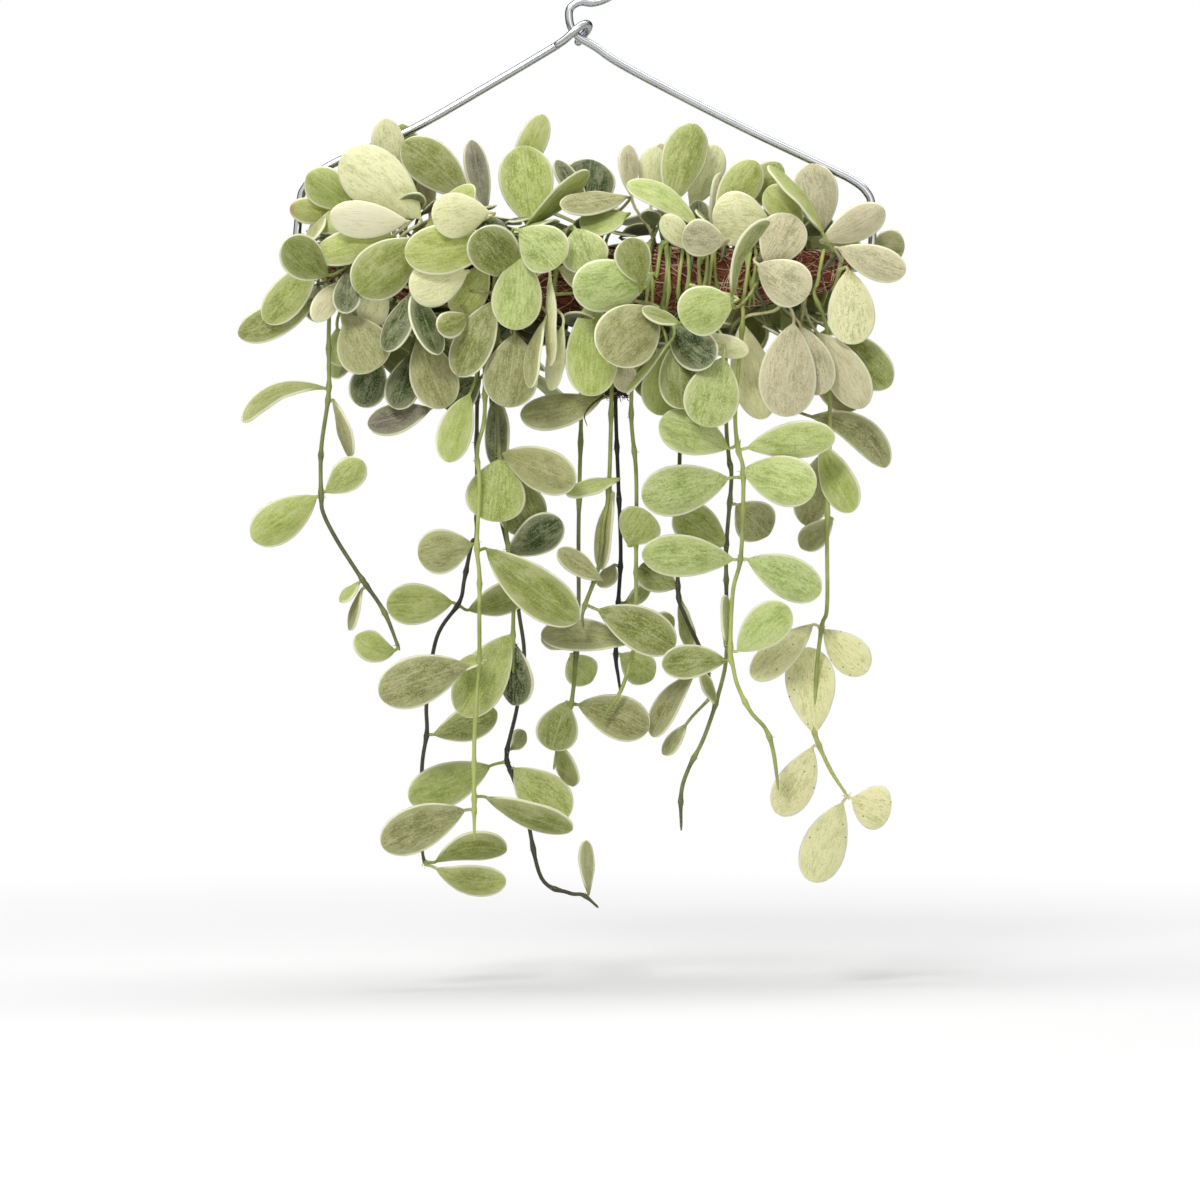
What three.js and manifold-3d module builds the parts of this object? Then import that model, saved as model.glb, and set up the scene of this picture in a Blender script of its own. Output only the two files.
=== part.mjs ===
// A variegated dischidia grown round a coir log that is threaded on a one-piece wire hanger.
// Millimetres, +Z up, seen from the front along +Y. The origin is the hook's bearing point, where
// the hanger rests on its rail. "Drop" is the distance below it, and "out" is towards the front.
import * as THREE from 'three';
import { mergeVertices } from 'three/addons/utils/BufferGeometryUtils.js';
import Module from 'manifold-3d';

const wasm = await Module();
wasm.setup();

// Driving dimensions of the hanger and the log.
const WIRE_RADIUS = 1.6;
const WIRE_SIDES = 8;
const HOOK_RADIUS = 16.6;
const LOG_LEFT = -112.4;
const LOG_RIGHT = 106;
const LOG_RADIUS = 14;
const LOG_END_RADIUS = 2.6;
const LOG_DROP = 142.5;
const LOG_SAG = 7.5;
const LOG_TILT = 0.016;
const LOG_SPAN = 112;
const LOG_RINGS = 12;
const LOG_SIDES = 14;
const BAR_STEPS = 10;
const GAP = 0.3;

// Driving dimensions of the stems and leaves.
const STEM_RADIUS = 1.0;
const PETIOLE_RADIUS = 0.72;
const BLADE_THICKNESS = 1.3;
const TRAILER_SIDES = 5;
const SHOOT_SIDES = 4;
const STEM_SLANT = 3;
const WRAP_STEP = 28;
const TRIM = 0.08;

const RAD = Math.PI / 180;
const FRONT = new THREE.Vector3(0, -1, 0);

// Every draw comes from one seeded sequence, so the plant is the same each time.
let seed = 5077;
const draw = (low, high) => {
  seed = (seed * 16807) % 2147483647;
  return low + (high - low) * (seed / 2147483647);
};

const materials = {
  steel: new THREE.MeshStandardMaterial({ color: '#b9bcc0', roughness: 0.25, metalness: 1 }),
  coir: new THREE.MeshStandardMaterial({ color: '#5b3023', roughness: 0.95, metalness: 0 }),
  leaf: new THREE.MeshStandardMaterial({ color: '#a9b377', roughness: 0.55, metalness: 0 }),
};
const dischidia = new THREE.Group();

const addPiece = (name, geometry, material) => {
  const mesh = new THREE.Mesh(geometry, material);
  mesh.name = name;
  dischidia.add(mesh);
};

// A point by its distance right of the hook, out to the front and below the hook.
const spot = (right, out, drop) => new THREE.Vector3(right, -out, -drop);

// ---------------------------------------------------------------- coir log and hanger wire

const logDrop = (x) => LOG_DROP - LOG_SAG * (x / LOG_SPAN) ** 2 + LOG_TILT * x;
const logRadius = (x) => {
  const along = (x - LOG_LEFT) / (LOG_RIGHT - LOG_LEFT);
  if (along <= 0 || along >= 1) return LOG_END_RADIUS;
  return LOG_END_RADIUS + (LOG_RADIUS - LOG_END_RADIUS) * Math.sin(Math.PI * along) ** 0.4;
};

// The point at an angle round the log: 0 faces the front, 90 is on top and 180 behind.
const outward = (angle) => new THREE.Vector3(0, -Math.cos(angle * RAD), Math.sin(angle * RAD));
const onLog = (x, angle, height) => outward(angle)
  .multiplyScalar(logRadius(x) + height)
  .add(spot(x, 0, logDrop(x)));

const lathedLog = () => {
  const profile = [];
  for (let i = 0; i <= LOG_RINGS; i += 1) {
    const x = LOG_LEFT + ((LOG_RIGHT - LOG_LEFT) * (1 - Math.cos((Math.PI * i) / LOG_RINGS))) / 2;
    profile.push(new THREE.Vector2(logRadius(x), x));
  }
  for (let i = BAR_STEPS; i >= 0; i -= 1) {
    const x = LOG_LEFT + ((LOG_RIGHT - LOG_LEFT) * i) / BAR_STEPS;
    profile.push(new THREE.Vector2(WIRE_RADIUS + GAP, x));
  }
  profile.push(profile[0].clone());
  const geometry = new THREE.LatheGeometry(profile, LOG_SIDES);
  const places = geometry.attributes.position;
  for (let i = 0; i < places.count; i += 1) {
    const along = places.getY(i);
    const up = places.getX(i);
    const back = places.getZ(i);
    places.setXYZ(i, along, back, up - logDrop(along));
  }
  return geometry;
};

// A smooth run through points, with the same number of steps between each two of them.
const eased = (points, steps) => new THREE.CatmullRomCurve3(points, false, 'catmullrom', 0.5)
  .getPoints((points.length - 1) * steps);

// A round section swept along a route with one ring at each of its points.
const sweep = (points, radius, sides) => {
  const section = new THREE.Shape();
  for (let i = 0; i < sides; i += 1) {
    const angle = (2 * Math.PI * i) / sides;
    section[i ? 'lineTo' : 'moveTo'](radius * Math.cos(angle), radius * Math.sin(angle));
  }
  const extrudePath = new THREE.CatmullRomCurve3(points, false, 'catmullrom', 0.5);
  extrudePath.getUtoTmapping = (u) => u;
  const steps = points.length - 1;
  return new THREE.ExtrudeGeometry(section, { steps, extrudePath, bevelEnabled: false });
};

// One wire makes the hook, the neck, the right arm, the bar through the log and the left arm,
// whose end is looped once round the neck.
const HOOK_START = 200;
const HOOK_END = -60;
const HOOK_STEP = 20;
const hookPoints = () => {
  const points = [];
  for (let angle = HOOK_START; angle >= HOOK_END; angle -= HOOK_STEP) {
    const right = HOOK_RADIUS * Math.cos(angle * RAD);
    const up = HOOK_RADIUS * Math.sin(angle * RAD);
    points.push(spot(right, 0, HOOK_RADIUS - WIRE_RADIUS - up));
  }
  return points;
};
const neckPoints = [
  [2.6, 0, 31.2], [-2.4, 0, 30.8], [-6.2, 0, 33.2], [-6.8, 0, 37], [-5.6, 0, 41.6], [-2.6, 0, 45],
  [4, 0, 49],
];
const rightArm = [
  [17.2, 0, 57.6], [61, 0, 80.2], [95, 0, 96.4], [106, 0, 101.8], [112, 0, 106.6],
  [114.4, 0, 113], [114.4, 0, 129], [113.4, 0, 134.4], [109.4, 0, 136.6],
];
const leftArm = [
  [-116, 0, 131.6], [-115.6, 0, 124], [-114.2, 0, 110], [-112.6, 0, 105.4], [-107.4, 0, 99.6],
  [-98, 0, 94], [-70, 0, 82], [-35.6, 0, 62.4],
];
const loop = [
  [-14, 1.2, 49.8], [-8.5, 3.2, 46.4], [-4.2, 3.9, 42.6], [-1, 2.8, 40.2], [1, 0, 40],
  [0.4, -3, 41.8], [-1.9, -3.9, 44.6], [-3.9, -3.2, 47.6],
];
const LOOP_STEPS = 2;
const barPoints = () => {
  const points = [];
  for (let i = BAR_STEPS; i >= 0; i -= 1) {
    const x = LOG_LEFT + ((LOG_RIGHT - LOG_LEFT) * i) / BAR_STEPS;
    points.push(spot(x, 0, logDrop(x)));
  }
  return points;
};
const wirePoints = [
  ...hookPoints(),
  ...neckPoints.map((place) => spot(...place)),
  ...rightArm.map((place) => spot(...place)),
  ...barPoints(),
  ...leftArm.map((place) => spot(...place)),
  ...eased(loop.map((place) => spot(...place)), LOOP_STEPS),
];

// ---------------------------------------------------------------- the plan of the plant

// A lane is where a stem hugs the log, and its wrap is the stretch of angles that it covers. A
// trailer's route goes on as [right, out, drop]. A leaf is [base right, base drop, tip right,
// tip drop, width, lean of the tip towards the front, roll], and on the clump's shoots its
// base's distance out stands before the lean.
const trailers = {
  trailer_left: {
    lane: -102, wrap: [70, -50],
    route: [
      [-102, 12, 152], [-102, 14, 168], [-102, 14, 188], [-105, 13, 210], [-105, 13, 229],
      [-104, 13, 236], [-99, 12, 246], [-92, 12, 257], [-88, 12, 263], [-80, 11, 275],
      [-74, 11, 290],
    ],
    leaves: [
      [-104, 186, -135, 200, 9, 8, 30, 0.2],
      [-100, 191, -94, 213, 12, -2, 60, -0.08],
      [-103, 227, -88, 215, 13, 3, 0],
      [-107, 229, -132, 246, 17, 5, 0],
      [-90, 263, -97, 271, 8, 3, 50],
      [-89, 266, -94, 282, 9, -3, 60],
      [-76, 290, -91, 284, 13, 6, 20, -0.12],
    ],
  },
  trailer_pale: {
    lane: -44, wrap: [60, -50],
    route: [
      [-41, 16, 164], [-40, 18, 196], [-43, 20, 211], [-42, 20, 224], [-43, 21, 248],
      [-42, 21, 260], [-42, 22, 276], [-42, 22, 294], [-43, 22, 309], [-44, 22, 326],
      [-44, 22, 351], [-44, 22, 364],
    ],
    leaves: [
      [-45, 248, -66, 253, 18, 3, 0],
      [-39, 250, -3, 278, 19, 6, 0],
      [-47, 296, -81, 308, 20, 5, 0],
      [-48, 353, -80, 367, 18, 6, 0],
      [-39, 348, -5, 360, 14, 4, 35],
      [-39, 294, -51, 296, 9, -6, 50],
    ],
  },
  trailer_shade: {
    lane: -48, wrap: [110, 250],
    route: [
      [-43, -14, 168], [-44, -12, 196], [-44, -10, 241], [-46, -10, 247], [-49, -9, 262],
      [-51, -8, 271], [-60, -8, 285], [-64, -8, 310], [-64, -8, 323], [-66, -8, 338],
      [-66, -8, 367], [-65, -8, 376],
    ],
    leaves: [
      [-54, 271, -80, 272, 17, 4, 0],
      [-47, 274, -24, 266, 14, -5, 20],
      [-61, 324, -36, 315, 15, -4, 15],
      [-60, 375, -32, 371, 13, -3, 20, -0.14],
      [-60, 378, -32, 382, 13, 6, 10, 0.08],
    ],
  },
  trailer_round: {
    lane: -36, wrap: [60, -55],
    route: [
      [-35, 14, 164], [-35, 12, 194], [-34, 12, 215], [-32, 10, 240], [-29, 9, 264], [-29, 8, 284],
      [-29, 8, 299],
    ],
    leaves: [
      [-34, 214, -37, 239, 24, 8, 0],
      [-32, 220, -20, 243, 20, -4, 0],
      [-33, 212, -4, 224, 18, 5, 15],
      [-31, 251, -10, 238, 16, -3, 10],
      [-30, 284, -49, 316, 20, 6, 0],
      [-28, 288, -29, 312, 16, -6, 30],
    ],
  },
  trailer_dark: {
    lane: -32, wrap: [110, 250],
    route: [
      [-38, -16, 168], [-38, -15, 196], [-37, -14, 224], [-30, -14, 256], [-27, -14, 276],
      [-25, -14, 293], [-28, -14, 314], [-32, -13, 332], [-30, -12, 340], [-24, -12, 357],
      [-18, -12, 382], [-7, -12, 388], [-1, -12, 389], [5, -12, 394],
    ],
    leaves: [
      [-39, 337, -71, 350, 18, 6, 0],
      [-29, 338, -7, 357, 20, 8, 0],
      [-30, 330, -25, 323, 9, -4, 40],
      [1, 388, 0, 367, 7, -3, 20],
    ],
  },
  trailer_middle: {
    lane: -5, wrap: [110, 250],
    route: [
      [-2, -12, 164], [-2, -10, 196], [-3, -8, 240], [-3, -6, 272], [-4, -5, 292], [-6, -4, 312],
      [-11, -4, 328], [-13, -4, 338],
    ],
    leaves: [
      [-8, 311, -14, 330, 17, 4, 0],
      [-3, 312, 25, 322, 18, 5, 0],
      [-6, 292, 2, 303, 14, -5, 0],
      [-5, 288, -18, 286, 10, 3, 45],
      [-10, 328, -5, 345, 10, -9, 30],
    ],
  },
  trailer_fork: {
    lane: 7, wrap: [50, -60],
    route: [
      [10, 13, 164], [10, 12, 196], [9, 11, 227], [7, 11, 240], [5, 11, 257], [-1, 11, 274],
      [-1, 11, 281],
    ],
    leaves: [
      [5, 274, 35, 289, 18, 5, 0],
      [11, 228, 6, 258, 10, -4, 45],
      [6, 262, -11, 250, 10, 4, 20],
      [13, 222, -8, 228, 8, 4, 30],
    ],
  },
  trailer_black: {
    lane: 12, wrap: [110, 250],
    route: [
      [12, -16, 164], [12, -18, 194], [13, -19, 222], [14, -20, 251], [13, -20, 271],
      [12, -20, 292], [13, -20, 301], [14, -20, 308],
    ],
    leaves: [
      [14, 292, 27, 302, 14, -4, 0],
      [11, 256, 6, 265, 10, 5, 40],
      [16, 271, 26, 265, 10, -4, 45],
    ],
  },
  trailer_centre: {
    lane: 19, wrap: [60, -60],
    route: [
      [19, 14, 164], [18, 10, 196], [20, 7, 220], [20, 5, 250], [20, 4, 264], [20, 4, 284],
      [19, 4, 290], [14, 4, 306], [6, 4, 318],
    ],
    leaves: [
      [17, 248, 25, 235, 18, 4, 0],
      [18, 287, -18, 284, 14, -4, 15],
      [23, 286, 35, 277, 11, -6, 20],
    ],
  },
  trailer_bright: {
    lane: 64, wrap: [60, -55],
    route: [
      [62, 20, 160], [59, 22, 194], [60, 22, 210], [62, 22, 218], [62, 22, 235], [61, 22, 254],
      [58, 22, 267], [57, 22, 290], [58, 22, 296], [60, 22, 304], [65, 22, 314], [71, 22, 321],
      [74, 22, 330], [76, 22, 345],
    ],
    leaves: [
      [56, 210, 29, 200, 18, 5, 0],
      [64, 210, 98, 206, 15, 6, 10],
      [62, 219, 90, 227, 20, 7, 0],
      [56, 222, 22, 230, 20, 6, 0],
      [64, 254, 92, 268, 17, 5, 0],
      [58, 254, 22, 252, 17, 6, 0],
      [60, 290, 80, 273, 17, 5, 0],
      [55, 294, 30, 296, 14, 4, 10],
      [55, 288, 55, 268, 6, -3, 35],
    ],
  },
  trailer_twin: {
    lane: 60, wrap: [130, 260],
    route: [
      [57, 2, 164], [56, 3, 197], [57, 4, 213], [58, 5, 222], [56, 5, 248], [56, 5, 267],
      [56, 5, 292], [53, 5, 307], [47, 5, 325], [41, 5, 337], [38, 5, 347], [38, 5, 362],
    ],
    leaves: [
      [56, 248, 36, 234, 17, 4, 0],
      [60, 232, 73, 244, 18, -6, 0],
      [52, 312, 46, 299, 6, 4, 30],
    ],
  },
  trailer_short: {
    lane: 38, wrap: [110, 250],
    route: [
      [39, -14, 164], [38, -10, 200], [37, -7, 240], [37, -5, 267], [40, -4, 277], [46, -4, 290],
      [49, -4, 300], [50, -4, 309],
    ],
    leaves: [
      [38, 270, 42, 290, 9, -3, 45],
      [43, 300, 27, 325, 11, 5, 20, 0.06],
      [40, 320, 31, 332, 7, -7, 20],
      [36, 265, 22, 256, 14, -5, 10],
    ],
  },
  trailer_right: {
    lane: 93, wrap: [60, -60],
    route: [
      [96, 10, 164], [97, 9, 200], [96, 8, 240], [96, 8, 272], [94, 8, 280], [92, 8, 296],
      [91, 8, 316], [91, 8, 323], [97, 8, 337], [104, 8, 348],
    ],
    leaves: [
      [90, 280, 66, 301, 14, 5, 15],
      [95, 282, 112, 298, 16, 6, 20],
      [91, 323, 88, 289, 20, -4, 0],
      [90, 329, 76, 355, 16, 5, 10],
      [102, 351, 90, 382, 18, 5, 0],
      [106, 349, 121, 354, 18, 4, 0],
      [94, 208, 106, 235, 15, 5, 20],
      [94, 212, 88, 240, 15, -5, 0],
      [98, 238, 86, 249, 11, -8, 0],
    ],
  },
};

const frontShoots = {
  shoot_01: {
    lane: -105, wrap: [10, 120],
    leaves: [
      [-94, 114, -111, 101, 16, 6, 3, 0],
      [-99, 116, -118, 114, 11, 1, 3, 10],
      [-104, 117, -109, 128, 8, 2, 0, 45],
    ],
  },
  shoot_02: {
    lane: -98, wrap: [-60, 60],
    leaves: [
      [-107, 134, -128, 159, 15, 9, 6, 0],
      [-108, 150, -139, 164, 14, 2, 3, 0],
      [-99, 144, -107, 160, 10, 7, 3, 0],
    ],
  },
  shoot_03: {
    lane: -93, wrap: [-80, 20],
    leaves: [
      [-94, 139, -94, 157, 12, 9, 3, 10],
      [-99, 162, -96, 177, 13, 8, 2, 10],
      [-84, 172, -90, 193, 15, 4, 3, 0],
      [-94, 157, -83, 179, 22, 14, 6, 0],
    ],
  },
  shoot_04: {
    lane: -80, wrap: [20, 110],
    leaves: [
      [-71, 120, -101, 118, 15, 16, 6, 0],
      [-76, 126, -107, 134, 14, 13, 7, 10],
      [-75, 110, -80, 78, 14, 0, 2, 0],
    ],
  },
  shoot_05: {
    lane: -76, wrap: [10, 110],
    leaves: [
      [-66, 118, -97, 94, 24, 9, 5, 0],
      [-70, 108, -74, 79, 13, -5, 0, 0],
      [-65, 128, -90, 149, 22, 18, 6, 0],
    ],
  },
  shoot_06: {
    lane: -72, wrap: [28, 130],
    leaves: [
      [-47, 110, -73, 88, 19, 6, 3, 10],
      [-63, 114, -70, 95, 14, -10, 0, 20],
      [-40, 115, -46, 86, 10, 2, -2, 10],
    ],
  },
  shoot_07: {
    lane: -68, wrap: [-70, 40],
    leaves: [
      [-80, 146, -88, 160, 13, 14, 3, 0],
      [-69, 149, -79, 172, 14, 21, 2, 35],
      [-68, 148, -58, 174, 14, 19, 5, -40],
      [-66, 166, -55, 194, 19, 14, 6, 0],
    ],
  },
  shoot_08: {
    lane: -64, wrap: [-80, 0],
    leaves: [
      [-70, 172, -76, 194, 14, 4, 2, 0],
      [-62, 194, -87, 200, 13, 9, 3, 15],
    ],
  },
  shoot_09: {
    lane: -56, wrap: [-20, 70],
    leaves: [
      [-36, 128, -71, 134, 20, 25, 7, 4],
      [-38, 118, -60, 121, 18, 31, 5, 0],
      [-47, 141, -69, 149, 18, 24, 6, 0],
    ],
  },
  shoot_10: {
    lane: -52, wrap: [-70, 20],
    leaves: [
      [-47, 158, -58, 164, 11, 24, 4, 0],
      [-39, 137, -52, 157, 15, 20, 2, 0],
      [-36, 152, -50, 182, 17, 22, 4, 15],
    ],
  },
  shoot_11: {
    lane: -40, wrap: [-80, 30],
    leaves: [
      [-42, 182, -56, 194, 14, 11, 2, 0],
      [-46, 189, -54, 216, 14, 18, 3, 0],
      [-36, 187, -36, 217, 12, 2, 2, 30],
    ],
  },
  shoot_12: {
    lane: -28, wrap: [-60, 60],
    leaves: [
      [-26, 134, -29, 164, 20, 27, 5, 0],
      [-28, 165, -32, 194, 22, 23, 6, 0],
      [-26, 125, -10, 139, 20, 31, 5, 0],
    ],
  },
  shoot_13: {
    lane: -24, wrap: [20, 120],
    leaves: [
      [-20, 122, -25, 89, 22, 12, -6, 0],
      [-30, 104, -17, 75, 12, -3, -4, 0],
      [-24, 122, 1, 100, 15, 14, 3, 62],
    ],
  },
  shoot_14: {
    lane: -20, wrap: [-70, 20],
    leaves: [
      [-16, 160, -21, 187, 11, 27, 3, 55],
      [-14, 142, -14, 178, 11, 24, 2, 65],
    ],
  },
  shoot_15: {
    lane: -12, wrap: [-80, 60],
    leaves: [
      [-9, 162, -14, 187, 10, 24, 3, 40],
      [-4, 124, 2, 141, 19, 26, 5, 0],
      [2, 152, 2, 190, 21, 22, 6, 0],
    ],
  },
  shoot_16: {
    lane: 2, wrap: [50, 130],
    leaves: [
      [1, 117, 2, 93, 22, -6, -2, 0],
      [1, 114, -12, 94, 9, 0, -2, 20],
      [16, 110, -10, 115, 13, 12, 4, 35],
      [16, 117, -2, 123, 15, 15, 6, 35],
    ],
  },
  shoot_17: {
    lane: 16, wrap: [-60, 40],
    leaves: [
      [26, 142, -5, 149, 21, 24, 8, 0],
      [22, 146, 16, 129, 15, 33, -1, 10],
      [28, 156, 8, 177, 25, 28, 7, 0],
    ],
  },
  shoot_18: {
    lane: 24, wrap: [30, 140],
    leaves: [
      [18, 108, 17, 88, 9, 1, -1, 20],
      [26, 110, 28, 88, 12, -5, -2, 0],
      [34, 112, 44, 80, 18, 6, -3, 0],
    ],
  },
  shoot_19: {
    lane: 28, wrap: [0, 140],
    leaves: [
      [42, 112, 52, 87, 14, -5, -3, 0],
      [44, 122, 16, 106, 14, 13, 3, 40, 0.1],
      [32, 108, 30, 86, 9, -10, -2, 0],
    ],
  },
  shoot_20: {
    lane: 32, wrap: [-80, 60],
    leaves: [
      [16, 176, 15, 188, 10, 20, 2, 0],
      [32, 170, 16, 189, 11, 30, 2, 74],
      [32, 170, 29, 197, 17, 17, 5, 0],
      [6, 190, -26, 197, 15, 12, 4, 15],
    ],
  },
  shoot_21: {
    lane: 41, wrap: [-60, 70],
    leaves: [
      [36, 168, 38, 195, 17, 22, 4, 0],
      [34, 162, 50, 177, 17, 24, 4, 0],
      [37, 162, 22, 157, 10, 34, 2, 50],
      [58, 153, 37, 161, 20, 33, 6, 0],
    ],
  },
  shoot_22: {
    lane: 45, wrap: [20, 90],
    leaves: [
      [55, 128, 38, 126, 15, 23, 4, 0],
      [42, 131, 30, 119, 11, 17, 2, 20],
      [46, 122, 45, 110, 9, -2, 0, 0],
    ],
  },
  shoot_23: {
    lane: 49, wrap: [-50, 60],
    leaves: [
      [54, 175, 46, 202, 22, 29, 5, 0],
      [42, 166, 64, 172, 10, 22, 2, 30],
      [73, 122, 50, 118, 22, 15, 5, 0],
    ],
  },
  shoot_24: {
    lane: 53, wrap: [30, 120],
    leaves: [
      [52, 118, 68, 95, 16, 6, -2, 0],
      [62, 114, 78, 95, 14, -2, -2, 0],
      [50, 122, 54, 99, 10, 1, 0, 40],
    ],
  },
  shoot_25: {
    lane: 68, wrap: [-30, 70],
    leaves: [
      [57, 152, 72, 122, 9, 36, -4, 50, -0.2],
      [71, 138, 82, 118, 19, 21, -1, 0],
      [68, 138, 87, 151, 19, 25, 6, 0],
    ],
  },
  shoot_26: {
    lane: 80, wrap: [-80, 70],
    leaves: [
      [82, 161, 79, 198, 23, 21, 6, 0],
      [85, 162, 93, 189, 17, 17, 4, 0],
      [62, 160, 71, 198, 17, 8, 2, 0],
      [86, 121, 72, 106, 14, 8, -2, 0],
    ],
  },
  shoot_27: {
    lane: 97, wrap: [10, 110],
    leaves: [
      [94, 125, 72, 98, 13, 15, -1, 62],
      [94, 123, 89, 96, 18, 4, -3, 0],
      [94, 127, 118, 115, 14, 13, 4, 0],
    ],
  },
  shoot_28: {
    lane: 101, wrap: [-70, 60],
    leaves: [
      [100, 131, 126, 141, 14, 11, 4, 0],
      [104, 139, 105, 169, 19, 13, 6, 0],
      [114, 128, 128, 128, 14, -6, -2, 0],
      [100, 162, 121, 185, 17, 6, 3, 0],
    ],
  },
  shoot_29: {
    lane: 89, wrap: [-80, 0],
    leaves: [
      [92, 164, 110, 194, 17, 11, 4, 15],
      [90, 197, 120, 217, 13, 6, 5, 10, -0.16],
      [90, 181, 109, 193, 14, 3, 2, 0],
    ],
  },
};

// The shoots behind share one rule, so only their lanes are listed, and the shoots on the left
// carry a few inner leaves by the same rule.
const backLanes = [
  -97, -89, -84, -68, -60, -52, -40, -20, -15, -2, 4, 30, 56, 72, 84, 89,
];
const BACK_WRAP = [95, 235];
const BACK_LEAVES = 8;
const BACK_HEIGHT = 26;
const INNER_LEAVES = 1;
const INNER_HEIGHT = 14;
const INNER_RIGHT = 10;

// ---------------------------------------------------------------- the room that pieces take up

// A grid of small cells over the whole plant. Each stem and blade claims the cells it fills, with
// a margin, and a later leaf that would enter a claimed cell is bent until it is clear.
const CELL = 0.8;
const ROOM_LOW = new THREE.Vector3(-160.3, -75.3, -405.3);
const ROOM_SIZE = [400, 190, 425];
const STEM_ROOM = 2.1;
const BLADE_ROOM = 1.75;
const WIRE_ROOM = 2.7;
const BLADE_CODE = 100;
const WIRE_CODE = 250;
const room = new Uint8Array(ROOM_SIZE[0] * ROOM_SIZE[1] * ROOM_SIZE[2]);

const cellOf = (point) => {
  const i = Math.floor((point.x - ROOM_LOW.x) / CELL);
  const j = Math.floor((point.y - ROOM_LOW.y) / CELL);
  const k = Math.floor((point.z - ROOM_LOW.z) / CELL);
  return (i * ROOM_SIZE[1] + j) * ROOM_SIZE[2] + k;
};

const ball = (radius) => {
  const reach = Math.floor(radius / CELL + 0.5);
  const offsets = [];
  for (let i = -reach; i <= reach; i += 1) {
    for (let j = -reach; j <= reach; j += 1) {
      for (let k = -reach; k <= reach; k += 1) {
        const inside = (i * i + j * j + k * k) * CELL * CELL <= (radius + 0.3 * CELL) ** 2;
        if (inside) offsets.push((i * ROOM_SIZE[1] + j) * ROOM_SIZE[2] + k);
      }
    }
  }
  return offsets;
};
const stemBall = ball(STEM_ROOM);
const bladeBall = ball(BLADE_ROOM);
const wireBall = ball(WIRE_ROOM);

const claim = (points, offsets, code) => points.forEach((point) => {
  const cell = cellOf(point);
  offsets.forEach((offset) => {
    if (!room[cell + offset]) room[cell + offset] = code;
  });
});

const ROUTE_SAMPLES = 24;
const claimRoute = (points, offsets, code) => {
  const route = new THREE.CatmullRomCurve3(points, false, 'catmullrom', 0.5);
  claim(route.getPoints((points.length - 1) * ROUTE_SAMPLES), offsets, code);
};

// ---------------------------------------------------------------- one leaf

// The outline of a dischidia leaf: a wedge at the petiole, widest past the middle, a round tip.
const BASE_TAPER = 0.8;
const TIP_TAPER = 0.5;
const WIDEST = BASE_TAPER / (BASE_TAPER + TIP_TAPER);
const halfWidth = (leaf, t) => {
  const rise = (t / WIDEST) ** BASE_TAPER;
  const fall = ((1 - t) / (1 - WIDEST)) ** TIP_TAPER;
  return Math.max(PETIOLE_RADIUS, (leaf.width / 2) * rise * fall);
};

// A leaf runs from its foot on the stem along a petiole to its base, and from there to its tip.
// It bows along its length, sways in its own plane, and its edges drop by its cup.
const PETIOLE_REACH = 0.38;
const shapeLeaf = ({ foot, footWay, base, tip, width, facing, roll, arch, cup, sway }) => {
  const axis = tip.clone().sub(base);
  const length = axis.length();
  axis.divideScalar(length);
  const flat = facing.clone().addScaledVector(axis, -facing.dot(axis)).normalize();
  const across = axis.clone().cross(flat);
  const face = flat.multiplyScalar(Math.cos(roll * RAD))
    .addScaledVector(across, Math.sin(roll * RAD));
  const side = axis.clone().cross(face);
  const bow = arch * length;
  const startWay = axis.clone()
    .addScaledVector(face, 4 * arch)
    .addScaledVector(side, 4 * sway)
    .normalize();
  const reach = foot.distanceTo(base) * PETIOLE_REACH;
  const petiole = new THREE.CubicBezierCurve3(
    foot,
    foot.clone().addScaledVector(footWay, reach),
    base.clone().addScaledVector(startWay, -reach),
    base,
  );
  return { base, axis, face, side, length, width, bow, cup, sway, petiole, startWay };
};

const bladeSpot = (leaf, t, s) => {
  const half = halfWidth(leaf, t) * s;
  const slope = 4 * leaf.sway * (1 - 2 * t);
  const turn = half / Math.hypot(1, slope);
  return leaf.base.clone()
    .addScaledVector(leaf.axis, leaf.length * t - slope * turn)
    .addScaledVector(leaf.face, 4 * leaf.bow * t * (1 - t) - leaf.cup * Math.abs(half * s))
    .addScaledVector(leaf.side, 4 * leaf.sway * leaf.length * t * (1 - t) + turn);
};

const BLADE_ROWS = 24;
const BLADE_COLUMNS = 14;
const NEAR_BASE = 0.3;
const FIRST_ROW = 2;
const bladeSpots = (leaf, from, to) => {
  const spots = [];
  for (let i = from; i <= to; i += 1) {
    for (let j = 0; j <= BLADE_COLUMNS; j += 1) {
      spots.push(bladeSpot(leaf, i / BLADE_ROWS, (2 * j) / BLADE_COLUMNS - 1));
    }
  }
  return spots;
};

const inLog = (point, height) => {
  if (point.x < LOG_LEFT - height || point.x > LOG_RIGHT + height) return false;
  return Math.hypot(point.y, point.z + logDrop(point.x)) < logRadius(point.x) + height;
};

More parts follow.
